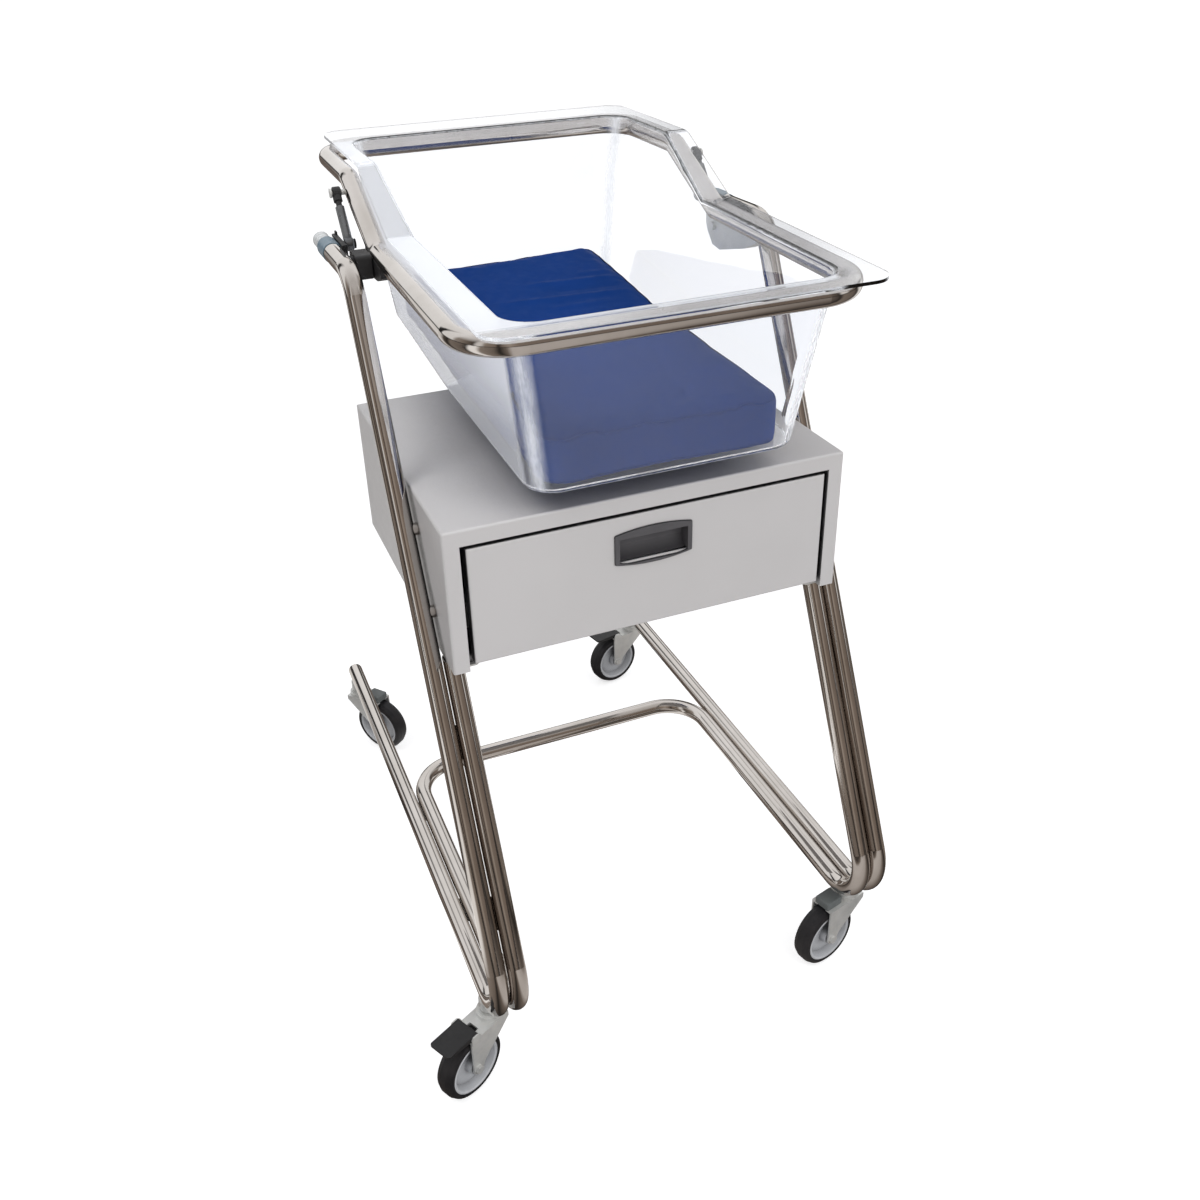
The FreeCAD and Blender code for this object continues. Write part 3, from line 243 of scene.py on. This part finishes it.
def acrylic():
    """Clear acrylic: the walls are see-through; on the rounded corners, edges
    and rolled rim a painted highlight of white shading is mixed in."""
    m, g, p = material("look_clear_acrylic")
    vec = g.coords()
    p.inputs["Base Color"].default_value = (0.975, 0.985, 1.0, 1.0)
    p.inputs["Transmission Weight"].default_value = 1.0
    p.inputs["IOR"].default_value = 1.49
    scuff = g.noise(vec, 35.0, 5.0, 0.7)
    g.link(g.remap(scuff, 0.62, 0.85, 0.0, 0.05), p.inputs["Roughness"])
    g.link(g.bump(g.noise(vec, 14.0, 2.0, 0.5), 0.05, 0.0006), p.inputs["Normal"])
    geo = g.add("ShaderNodeNewGeometry")
    sp = g.add("ShaderNodeSeparateXYZ")
    g.link(geo.outputs["Normal"], sp.inputs[0])
    ax, ay, az = (g.math("ABSOLUTE", o) for o in sp.outputs)
    most = g.math("MAXIMUM", g.math("MAXIMUM", ax, ay), az)
    # painted highlight: where the normal leans between the axes, at rounded corners and edges, the clear glass is mixed
    # towards white in streaks
    bend = g.remap(most, 0.91, 0.73, 0.0, 1.0)
    glare_streaks = g.remap(g.noise(g.coords((1.0, 1.0, 0.12)), 90.0, 3.0, 0.6), 0.35, 0.7, 0.35, 1.0)
    painted_glare = g.math("MULTIPLY", g.math("MULTIPLY", bend, glare_streaks), 0.62)
    at = g.add("ShaderNodeSeparateXYZ")
    g.link(vec, at.inputs[0])
    # painted reflection: on the rolled flange and the left wall the clear glass is mixed towards white, standing for
    # the room's light they reflect, and hides what is behind them
    flange_glare = g.math("MULTIPLY", g.remap(az, 0.93, 0.98, 0.0, 1.0), g.remap(at.outputs[2], 1.012, 1.022, 0.0, 0.56))
    for axis, a, b in ((0, -0.202, -0.193), (0, 0.232, 0.222), (1, -0.367, -0.360), (1, 0.300, 0.290)):
        flange_glare = g.math("MULTIPLY", flange_glare, g.remap(at.outputs[axis], a, b, 0.0, 1.0))
    left_wall_glare = g.math("MULTIPLY", g.remap(ax, 0.93, 0.975, 0.0, 1.0), g.remap(at.outputs[0], -0.02, -0.06, 0.0, 1.0))
    left_wall_glare = g.math("MULTIPLY", left_wall_glare, g.remap(at.outputs[2], 0.885, 0.985, 0.20, 0.46))
    glare_patchiness = g.remap(g.noise(g.coords((1.0, 0.25, 1.0)), 6.0, 3.0, 0.55), 0.3, 0.7, 0.82, 1.0)
    painted_glare = g.math("MAXIMUM", painted_glare, g.math("MULTIPLY", g.math("MAXIMUM", flange_glare, left_wall_glare), glare_patchiness))
    # painted glare shading: white diffuse and translucent halves, plus an emission glow with no lamp behind it
    glare_white = g.add("ShaderNodeBsdfDiffuse")
    glare_white.inputs["Color"].default_value = (0.93, 0.95, 0.98, 1.0)
    glow = g.add("ShaderNodeBsdfTranslucent")
    glow.inputs["Color"].default_value = (0.95, 0.97, 1.0, 1.0)
    both = g.add("ShaderNodeMixShader")
    both.inputs[0].default_value = 0.5
    g.link(glare_white.outputs[0], both.inputs[1])
    g.link(glow.outputs[0], both.inputs[2])
    painted_glow = g.add("ShaderNodeEmission")
    painted_glow.inputs["Color"].default_value = (0.96, 0.97, 1.0, 1.0)
    painted_glow.inputs["Strength"].default_value = 0.30
    full = g.add("ShaderNodeAddShader")
    g.link(both.outputs[0], full.inputs[0])
    g.link(painted_glow.outputs[0], full.inputs[1])
    ms = g.add("ShaderNodeMixShader")
    g.link(painted_glare, ms.inputs[0])
    g.link(p.outputs[0], ms.inputs[1])
    g.link(full.outputs[0], ms.inputs[2])
    out = [n for n in g.n if n.type == "OUTPUT_MATERIAL"][0]
    g.link(ms.outputs[0], out.inputs["Surface"])
    return m


def pad_cover():
    m, g, p = material("look_pad_cover")
    vec = g.coords()
    cloud = g.noise(vec, 12.0, 4.0, 0.6)
    c = g.mix(g.remap(cloud, 0.3, 0.7, 0, 1), (0.0055, 0.0410, 0.205), (0.0080, 0.0465, 0.232))
    wa = g.add("ShaderNodeTexWave", wave_type="BANDS", bands_direction="X")
    wb = g.add("ShaderNodeTexWave", wave_type="BANDS", bands_direction="Y")
    for w in (wa, wb):
        g.link(vec, w.inputs["Vector"])
        w.inputs["Scale"].default_value = 420.0
        w.inputs["Distortion"].default_value = 0.6
        w.inputs["Detail"].default_value = 1.0
    weave = g.math("MULTIPLY", wa.outputs["Fac"], wb.outputs["Fac"])
    g.link(g.mix(g.remap(weave, 0.0, 1.0, 0.0, 0.10), c, (0.016, 0.062, 0.27)), p.inputs["Base Color"])
    g.link(g.remap(g.noise(vec, 70.0, 4.0, 0.6), 0.3, 0.75, 0.50, 0.66), p.inputs["Roughness"])
    p.inputs["Specular IOR Level"].default_value = 0.04
    p.inputs["Sheen Weight"].default_value = 0.01
    p.inputs["Sheen Roughness"].default_value = 0.4
    p.inputs["Sheen Tint"].default_value = (0.35, 0.45, 0.85, 1.0)
    creased = g.bump(g.noise(g.coords((1.0, 3.2, 1.0)), 15.0, 2.0, 0.5, 0.3), 0.10, 0.003)
    g.link(g.bump(weave, 0.02, 0.0001, creased), p.inputs["Normal"])
    return m


def welt_edge_painted_shade():
    m, g, p = material("look_welt_painted_shade")
    vec = g.coords()
    cloud = g.noise(vec, 90.0, 3.0, 0.6)
    dark = g.mix(g.remap(cloud, 0.3, 0.7, 0, 1), (0.0025, 0.0070, 0.034), (0.0040, 0.0110, 0.052))
    # painted shade: the welt is near black along the rear and sides, where the pad's edges stand in shade, and turns to
    # the pad's blue towards the front (y below -0.16 m)
    sp = g.add("ShaderNodeSeparateXYZ")
    g.link(vec, sp.inputs[0])
    g.link(g.mix(g.remap(sp.outputs[1], -0.27, -0.16, 1.0, 0.0), dark, (0.0060, 0.0400, 0.200)), p.inputs["Base Color"])
    g.link(g.remap(g.noise(vec, 160.0, 3.0, 0.6), 0.3, 0.75, 0.45, 0.62), p.inputs["Roughness"])
    p.inputs["Specular IOR Level"].default_value = 0.04
    g.link(g.bump(g.noise(vec, 700.0, 2.0, 0.5), 0.15, 0.0003), p.inputs["Normal"])
    return m


def moulded(name, a, b, rough=(0.4, 0.6), grain=700.0, strength=0.15, spec=0.5):
    m, g, p = material(name)
    vec = g.coords()
    cloud = g.noise(vec, 28.0, 4.0, 0.6)
    g.link(g.mix(g.remap(cloud, 0.3, 0.72, 0, 1), a, b), p.inputs["Base Color"])
    g.link(g.remap(g.noise(vec, 160.0, 4.0, 0.65), 0.3, 0.75, *rough), p.inputs["Roughness"])
    p.inputs["Specular IOR Level"].default_value = spec
    g.link(g.bump(g.noise(vec, grain, 2.0, 0.5), strength, 0.0003), p.inputs["Normal"])
    return m, g, p


def sleeve():
    m, g, p = moulded("look_white_sleeve", (0.74, 0.76, 0.76), (0.66, 0.69, 0.70), (0.22, 0.36), 300.0, 0.05)
    p.inputs["Subsurface Weight"].default_value = 0.35
    p.inputs["Subsurface Radius"].default_value = (0.004, 0.004, 0.004)
    p.inputs["Subsurface Scale"].default_value = 1.0
    return m


def strut_metal():
    m, g, p = material("look_strut_grey")
    vec = g.coords()
    cloud = g.noise(vec, 45.0, 4.0, 0.6)
    g.link(g.mix(g.remap(cloud, 0.3, 0.7, 0, 1), (0.24, 0.25, 0.26), (0.15, 0.155, 0.165)), p.inputs["Base Color"])
    p.inputs["Metallic"].default_value = 0.85
    g.link(g.remap(g.noise(vec, 190.0, 4.0, 0.6), 0.3, 0.75, 0.26, 0.42), p.inputs["Roughness"])
    g.link(g.bump(g.noise(vec, 800.0, 2.0, 0.5), 0.06, 0.0003), p.inputs["Normal"])
    return m


def tyre():
    m, g, p = material("look_wheel_tyre")
    vec = g.coords()
    dust = g.noise(vec, 60.0, 5.0, 0.7)
    g.link(g.mix(g.remap(dust, 0.45, 0.8, 0, 0.6), (0.010, 0.0098, 0.012), (0.045, 0.041, 0.042)), p.inputs["Base Color"])
    g.link(g.remap(g.noise(vec, 120.0, 4.0, 0.6), 0.3, 0.75, 0.50, 0.72), p.inputs["Roughness"])
    g.link(g.bump(g.noise(vec, 500.0, 3.0, 0.6), 0.2, 0.0004), p.inputs["Normal"])
    return m


def pull_plastic():
    m, g, p = moulded("look_dark_grey_plastic", (0.120, 0.116, 0.121), (0.104, 0.100, 0.105), (0.62, 0.78), 1100.0, 0.2, 0.2)
    cloud = g.noise(g.coords(), 28.0, 4.0, 0.6)
    c = g.mix(g.remap(cloud, 0.3, 0.72, 0, 1), (0.120, 0.116, 0.121), (0.104, 0.100, 0.105))
    # painted shade: faces turned upwards, such as the lip of the cup, are darkened
    geo = g.add("ShaderNodeNewGeometry")
    sp = g.add("ShaderNodeSeparateXYZ")
    g.link(geo.outputs["Normal"], sp.inputs[0])
    g.link(g.mix(g.remap(sp.outputs[2], 0.25, 0.75, 0.0, 1.0), c, (0.045, 0.043, 0.046)), p.inputs["Base Color"])
    return m


def wheel_rim():
    m, g, p = moulded("look_wheel_rim", (0.62, 0.63, 0.65), (0.50, 0.51, 0.53), (0.34, 0.50), 600.0, 0.12)
    # painted shade: the recesses of the rim within 22 mm are darkened to near black
    ao = g.add("ShaderNodeAmbientOcclusion", samples=6)
    ao.inputs["Distance"].default_value = 0.022
    c = g.mix(g.remap(g.noise(g.coords(), 28.0, 4.0, 0.6), 0.3, 0.72, 0, 1), (0.62, 0.63, 0.65), (0.50, 0.51, 0.53))
    g.link(g.mix(g.remap(ao.outputs["AO"], 0.30, 0.88, 0.92, 0.0), c, (0.035, 0.035, 0.042)), p.inputs["Base Color"])
    return m


LOOKS = {
    "chrome_tube": chrome(),
    "zinc_steel": zinc(),
    "painted_sheet": painted(),
    "clear_acrylic": acrylic(),
    "pad_cover": pad_cover(),
    "black_plastic": moulded("look_black_plastic", (0.012, 0.012, 0.013), (0.020, 0.020, 0.021), (0.42, 0.62), 900.0, 0.2)[0],
    "dark_grey_plastic": pull_plastic(),
    "white_sleeve": sleeve(),
    "blue_band": moulded("look_blue_band", (0.150, 0.235, 0.300), (0.120, 0.195, 0.255), (0.30, 0.44), 500.0, 0.08)[0],
    "strut_grey": strut_metal(),
    "strut_rod": moulded("look_strut_rod", (0.016, 0.016, 0.017), (0.028, 0.028, 0.030), (0.35, 0.55), 700.0, 0.12)[0],
    "wheel_tyre": tyre(),
    "wheel_rim": wheel_rim(),
    "cover_grey": moulded("look_cover_grey", (0.150, 0.165, 0.165), (0.120, 0.132, 0.132), (0.40, 0.55), 800.0, 0.15)[0],
}

SLOT_OF = {s["node"]: s["material_slot"] for s in frame["record"]["subparts"]}
for name, ob in NODES.items():
    look = LOOKS[SLOT_OF[name]]
    for k in range(max(1, len(ob.material_slots))):
        if len(ob.material_slots) <= k:
            ob.data.materials.append(look)
        else:
            ob.material_slots[k].link = "OBJECT"
            ob.material_slots[k].material = look


# ---------------------------------------------------------------------------
# mattress: a thin foam pad in a wipe-clean cover
# ---------------------------------------------------------------------------
def mesh_arrays(me):
    co = np.empty(len(me.vertices) * 3, np.float64)
    me.vertices.foreach_get("co", co)
    return co.reshape(-1, 3)


def set_coords(me, co):
    me.vertices.foreach_set("co", np.ascontiguousarray(co, np.float64).ravel().astype(np.float32))
    me.update()


def evaluated(ob, name):
    dg = bpy.context.evaluated_depsgraph_get()
    return_me = bpy.data.meshes.new_from_object(ob.evaluated_get(dg))
    return_me.name = name
    return return_me


def swap_mesh(ob, me):
    ob.modifiers.clear()
    ob.data = me


# folds of the cover in metres: points, height and half width; each fades out towards its ends
FOLDS = [
    ([(0.030, 0.1460), (0.086, 0.1392), (0.135, 0.1373), (0.1885, 0.1350)], 0.0022, 0.0050),
    ([(-0.020, 0.0960), (0.038, 0.0910), (0.082, 0.0882), (0.126, 0.0852), (0.1800, 0.0861)], 0.0024, 0.0052),
    ([(0.033, 0.0597), (0.086, 0.0605), (0.140, 0.0627)], 0.0012, 0.0050),
    ([(0.118, 0.1603), (0.157, 0.1585), (0.187, 0.1618)], 0.0014, 0.0048),
    ([(0.060, 0.1155), (0.120, 0.1120), (0.185, 0.1100)], -0.0020, 0.0070),
    ([(0.130, -0.0775), (0.110, -0.1455), (0.096, -0.2037), (0.084, -0.2617)], -0.0008, 0.0050),
    ([(0.099, -0.2389), (0.092, -0.2650), (0.088, -0.2856)], -0.0016, 0.0040),
    ([(0.071, -0.2781), (0.090, -0.2609), (0.106, -0.2450)], -0.0014, 0.0038),
    ([(0.093, -0.2875), (0.095, -0.3050)], -0.0010, 0.0040),
    ([(-0.080, 0.2200), (-0.020, 0.2290), (0.050, 0.2260)], 0.0008, 0.0090),
    ([(-0.090, -0.0600), (-0.030, -0.0450), (0.060, -0.0520)], 0.0009, 0.0090),
]


def fold_height(xy):
    total = np.zeros(len(xy))
    for pts, height, width in FOLDS:
        pts = np.array(pts)
        seg = np.diff(pts, axis=0)
        run = np.concatenate([[0.0], np.cumsum(np.linalg.norm(seg, axis=1))])
        best = np.full(len(xy), 1e9)
        along = np.zeros(len(xy))
        for k in range(len(seg)):
            d = xy - pts[k]
            t = np.clip(d @ seg[k] / (seg[k] @ seg[k]), 0.0, 1.0)
            gap = np.linalg.norm(d - t[:, None] * seg[k], axis=1)
            nearer = gap < best
            best[nearer] = gap[nearer]
            along[nearer] = (run[k] + t * np.linalg.norm(seg[k]))[nearer]
        fade = np.clip(np.minimum(along, run[-1] - along) / (0.25 * run[-1]) + 0.12, 0.0, 1.0)
        total += height * fade * np.exp(-0.5 * (best / width) ** 2)
    return total


def piping(ob, name, side, look):
    """Welt along the top (side 1) or bottom (side -1) edge of a finished pad."""
    me = ob.data
    co = mesh_arrays(me)
    nn = np.empty(len(me.vertices) * 3, np.float64)
    me.vertices.foreach_get("normal", nn)
    nz = nn.reshape(-1, 3)[:, 2] * side
    band = (nz > 0.38) & (nz < 0.86)
    rim = co[band]
    mid = (co.min(0) + co.max(0)) / 2
    size = co.max(0) - co.min(0)
    turn = np.arctan2((rim[:, 1] - mid[1]) / size[1], (rim[:, 0] - mid[0]) / size[0])
    bins = 420
    which = ((turn / (2 * math.pi) + 0.5) * bins).astype(int) % bins
    count = np.bincount(which, minlength=bins)
    line = np.stack([np.bincount(which, rim[:, k], bins) for k in range(3)], 1)
    full = np.nonzero(count > 0)[0]
    line[full] /= count[full][:, None]
    idx = np.arange(bins)
    line = np.stack([np.interp(idx, full, line[full, k], period=bins) for k in range(3)], 1)
    for _ in range(2):
        line = 0.5 * line + 0.25 * (np.roll(line, 1, 0) + np.roll(line, -1, 0))
    radius, sides = 0.0017, 8
    verts, faces = [], []
    for i in range(bins):
        ahead = Vector(line[(i + 1) % bins] - line[i - 1]).normalized()
        out = ahead.cross(Vector((0, 0, 1))).normalized()
        up = out.cross(ahead)
        for k in range(sides):
            a = 2 * math.pi * k / sides
            verts.append(Vector(line[i]) + out * (radius * math.cos(a)) + up * (radius * math.sin(a)))
        j = (i + 1) % bins
        for k in range(sides):
            k2 = (k + 1) % sides
            faces.append((i * sides + k, i * sides + k2, j * sides + k2, j * sides + k))
    pm = bpy.data.meshes.new(name)
    pm.from_pydata([tuple(v) for v in verts], [], faces)
    for poly in pm.polygons:
        poly.use_smooth = True
    pm.materials.append(look)
    po = bpy.data.objects.new(name, pm)
    scene.collection.objects.link(po)
    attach(po, "mattress")
    return po


def build_mattress():
    src = NODES["mattress"]
    me = src.data.copy()
    me.name = "mattress_cover"
    me.materials.clear()
    ob = bpy.data.objects.new("mattress_cover", me)
    scene.collection.objects.link(ob)
    co = mesh_arrays(me)
    lo, hi = co.min(0), co.max(0)
    mid = (lo + hi) / 2
    swell = 0.0035
    fit = 1 - 2 * swell / (hi - lo)
    co[:, 0] = mid[0] + (co[:, 0] - mid[0]) * fit[0]
    co[:, 1] = mid[1] + (co[:, 1] - mid[1]) * fit[1]
    set_coords(me, co)
    r = ob.modifiers.new("remesh", "REMESH")
    r.mode = "VOXEL"
    r.voxel_size = 0.0055
    swap_mesh(ob, evaluated(ob, "mattress_cover"))
    me = ob.data
    rest = mesh_arrays(me)
    c = ob.modifiers.new("cloth", "CLOTH")
    s = c.settings
    s.quality = 5
    s.mass = 0.25
    s.use_pressure = True
    s.uniform_pressure_force = 4.0
    s.tension_stiffness = s.compression_stiffness = 18.0
    s.shear_stiffness = 6.0
    s.bending_stiffness = 0.6
    s.effector_weights.gravity = 0.0
    c.point_cache.frame_start, c.point_cache.frame_end = 1, 20
    for f in range(1, 21):
        scene.frame_set(f)
    swap_mesh(ob, evaluated(ob, "mattress_cover"))
    scene.frame_set(1)
    me = ob.data
    now = mesh_arrays(me)
    move = now - rest
    length = np.linalg.norm(move, axis=1, keepdims=True)
    move *= np.minimum(1.0, 0.006 / np.maximum(length, 1e-9))
    now = rest + move
    set_coords(me, now)
    sub = ob.modifiers.new("smooth", "SUBSURF")
    sub.levels = sub.render_levels = 1
    swap_mesh(ob, evaluated(ob, "mattress_cover"))
    me = ob.data
    co = mesh_arrays(me)
    nn = np.empty(len(me.vertices) * 3, np.float64)
    me.vertices.foreach_get("normal", nn)
    upward = np.clip((nn.reshape(-1, 3)[:, 2] - 0.55) / 0.3, 0.0, 1.0)
    co[:, 2] += fold_height(co[:, :2]) * upward
    set_coords(me, co)
    for poly in me.polygons:
        poly.use_smooth = True
    me.materials.append(LOOKS["pad_cover"])
    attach(ob, "mattress")
    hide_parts("mattress")
    welt = welt_edge_painted_shade()
    piping(ob, "mattress_piping_top", 1, welt)
    piping(ob, "mattress_piping_bottom", -1, welt)
    return ob


build_mattress()


# ---------------------------------------------------------------------------
# floor, world and lights
# ---------------------------------------------------------------------------
# what polished metal sees of the studio's floor, going round from the rear
FLOOR_ROOM = [
    (0.000, (0.62, 0.58, 0.55)), (0.035, (0.60, 0.56, 0.53)), (0.055, (0.20, 0.165, 0.14)), (0.085, (0.02, 0.018, 0.016)),
    (0.110, (0.20, 0.165, 0.14)), (0.165, (0.30, 0.255, 0.22)), (0.185, (1.10, 1.08, 1.06)), (0.215, (1.10, 1.08, 1.06)),
    (0.232, (0.03, 0.026, 0.022)), (0.255, (0.17, 0.14, 0.12)), (0.320, (0.27, 0.23, 0.20)), (0.345, (0.03, 0.026, 0.024)),
    (0.375, (0.12, 0.10, 0.085)), (0.405, (0.80, 0.78, 0.76)), (0.440, (0.90, 0.88, 0.86)), (0.460, (0.14, 0.115, 0.10)),
    (0.540, (0.24, 0.20, 0.175)), (0.560, (0.03, 0.026, 0.024)), (0.600, (0.16, 0.135, 0.115)), (0.660, (0.30, 0.26, 0.23)),
    (0.685, (1.00, 0.98, 0.96)), (0.720, (0.95, 0.93, 0.91)), (0.740, (0.03, 0.026, 0.022)), (0.775, (0.18, 0.15, 0.13)),
    (0.840, (0.25, 0.21, 0.18)), (0.862, (0.025, 0.022, 0.02)), (0.900, (0.18, 0.15, 0.13)), (0.935, (0.50, 0.46, 0.43)),
    (1.000, (0.62, 0.58, 0.55)),
]


def build_floor():
    me = bpy.data.meshes.new("floor")
    n, size = 8, 90.0
    verts = [(-size / 2 + size * i / n, -size / 2 + size * j / n, 0.0) for j in range(n + 1) for i in range(n + 1)]
    faces = [(j * (n + 1) + i, j * (n + 1) + i + 1, (j + 1) * (n + 1) + i + 1, (j + 1) * (n + 1) + i) for j in range(n) for i in range(n)]
    me.from_pydata(verts, [], faces)
    ob = bpy.data.objects.new("floor", me)
    scene.collection.objects.link(ob)
    m, g, p = material("look_floor")
    vec = g.coords()
    g.link(g.mix(g.remap(g.noise(vec, 3.0, 3.0), 0.3, 0.7, 0, 1), (0.80, 0.80, 0.80), (0.79, 0.79, 0.795)), p.inputs["Base Color"])
    p.inputs["Roughness"].default_value = 0.9
    p.inputs["Specular IOR Level"].default_value = 0.1
    p.inputs["Emission Color"].default_value = (1, 1, 1, 1)
    p.inputs["Emission Strength"].default_value = 0.62
    dim = g.add("ShaderNodeBsdfDiffuse")
    dim.inputs["Color"].default_value = (0.50, 0.50, 0.50, 1.0)
    tc = g.add("ShaderNodeTexCoord")
    sp = g.add("ShaderNodeSeparateXYZ")
    g.link(tc.outputs["Object"], sp.inputs[0])
    turn = g.math("ADD", g.math("DIVIDE", g.math("ARCTAN2", sp.outputs[0], sp.outputs[1]), 2 * math.pi), 0.5)
    seen = g.add("ShaderNodeEmission")
    g.link(g.ramp(turn, FLOOR_ROOM), seen.inputs["Color"])
    lp = g.add("ShaderNodeLightPath")
    m1, m2 = g.add("ShaderNodeMixShader"), g.add("ShaderNodeMixShader")
    g.link(lp.outputs["Is Diffuse Ray"], m1.inputs[0])
    g.link(p.outputs[0], m1.inputs[1])
    g.link(dim.outputs[0], m1.inputs[2])
    mirrored = g.math("SUBTRACT", lp.outputs["Is Glossy Ray"], lp.outputs["Is Transmission Ray"], clamp=True)
    g.link(mirrored, m2.inputs[0])
    g.link(m1.outputs[0], m2.inputs[1])
    g.link(seen.outputs[0], m2.inputs[2])
    out = [n for n in g.n if n.type == "OUTPUT_MATERIAL"][0]
    g.link(m2.outputs[0], out.inputs["Surface"])
    me.materials.append(m)


def build_world():
    w = bpy.data.worlds.new("studio")
    scene.world = w
    w.use_nodes = True
    g = Graph(w.node_tree)
    g.n.clear()
    out = g.add("ShaderNodeOutputWorld")
    tc = g.add("ShaderNodeTexCoord")
    sp = g.add("ShaderNodeSeparateXYZ")
    g.link(tc.outputs["Generated"], sp.inputs[0])
    x, y, z = sp.outputs
    turn = g.math("ADD", g.math("DIVIDE", g.math("ARCTAN2", x, y), 2 * math.pi), 0.5)
    walls = g.ramp(turn, [
        (0.000, (0.26, 0.21, 0.175)), (0.040, (0.42, 0.36, 0.31)), (0.075, (0.20, 0.16, 0.135)),
        (0.090, (0.02, 0.018, 0.016)), (0.105, (0.24, 0.19, 0.155)), (0.150, (0.30, 0.25, 0.21)),
        (0.170, (0.85, 0.83, 0.81)), (0.190, (0.80, 0.78, 0.77)), (0.205, (0.07, 0.055, 0.045)),
        (0.260, (0.24, 0.20, 0.17)), (0.300, (0.36, 0.32, 0.29)), (0.320, (1.0, 1.0, 1.0)),
        (0.395, (1.05, 1.05, 1.06)), (0.405, (0.03, 0.03, 0.03)), (0.425, (0.03, 0.03, 0.03)),
        (0.435, (1.0, 1.0, 1.0)), (0.560, (1.1, 1.1, 1.1)), (0.575, (0.05, 0.045, 0.04)),
        (0.590, (0.05, 0.045, 0.04)), (0.600, (1.0, 1.0, 1.0)), (0.680, (0.95, 0.95, 0.95)),
        (0.700, (0.10, 0.085, 0.075)), (0.760, (0.22, 0.18, 0.155)), (0.800, (0.28, 0.24, 0.21)),
        (0.815, (0.90, 0.88, 0.87)), (0.850, (0.85, 0.83, 0.82)), (0.865, (0.04, 0.034, 0.03)),
        (0.900, (0.20, 0.16, 0.135)), (1.000, (0.26, 0.21, 0.175)),
    ])
    back = g.remap(y, -0.3, 0.5, 0.0, 1.0)
    top = g.mix(back, (0.62, 0.60, 0.585), (1.05, 1.05, 1.06))
    lift = g.remap(z, 0.45, 0.80, 0.0, 1.0)
    sides = g.mix(lift, walls, top)
    line = g.remap(g.math("ABSOLUTE", g.math("SUBTRACT", z, 0.01)), 0.02, 0.06, 1.0, 0.0)
    room = g.mix(line, sides, (0.03, 0.027, 0.025))
    glow = g.math("ADD", g.math("MULTIPLY", x, 0.36), g.math("MULTIPLY", y, -0.36))
    glow = g.math("ADD", g.math("ADD", glow, 0.62), g.math("MULTIPLY", z, -0.10))
    soft = g.mix(glow, (0, 0, 0), (1.0, 1.0, 1.015))
    lp = g.add("ShaderNodeLightPath")
    b_room, b_soft, b_cam = (g.add("ShaderNodeBackground") for _ in range(3))
    g.link(room, b_room.inputs["Color"])
    g.link(soft, b_soft.inputs["Color"])
    g.link(g.mix(lp.outputs["Is Camera Ray"], (0.885, 0.895, 0.925), (1, 1, 1)), b_cam.inputs["Color"])
    b_room.inputs["Strength"].default_value = 1.0
    b_soft.inputs["Strength"].default_value = 1.0
    b_cam.inputs["Strength"].default_value = 1.03
    m1 = g.add("ShaderNodeMixShader")
    g.link(lp.outputs["Is Diffuse Ray"], m1.inputs[0])
    g.link(b_cam.outputs[0], m1.inputs[1])
    g.link(b_soft.outputs[0], m1.inputs[2])
    m2 = g.add("ShaderNodeMixShader")
    mirrored = g.math("SUBTRACT", lp.outputs["Is Glossy Ray"], lp.outputs["Is Transmission Ray"], clamp=True)
    g.link(mirrored, m2.inputs[0])
    g.link(m1.outputs[0], m2.inputs[1])
    g.link(b_room.outputs[0], m2.inputs[2])
    g.link(m2.outputs[0], out.inputs["Surface"])


def area(name, pos, target, size, power, colour=(1, 1, 1)):
    d = bpy.data.lights.new(name, "AREA")
    d.shape = "RECTANGLE"
    d.size, d.size_y = size
    d.energy = power
    d.color = colour
    ob = bpy.data.objects.new(name, d)
    ob.location = pos
    ob.rotation_mode = "QUATERNION"
    ob.rotation_quaternion = (Vector(target) - Vector(pos)).to_track_quat("-Z", "Y")
    scene.collection.objects.link(ob)
    ob.visible_glossy = False
    ob.visible_transmission = False
    return ob


build_floor()
build_world()
area("key", (1.3, -3.0, 2.3), (0.0, 0.0, 0.7), (2.2, 1.8), 26.0)
area("fill", (-1.7, -0.5, 3.0), (-0.1, 0.0, 0.8), (1.4, 1.2), 22.0)
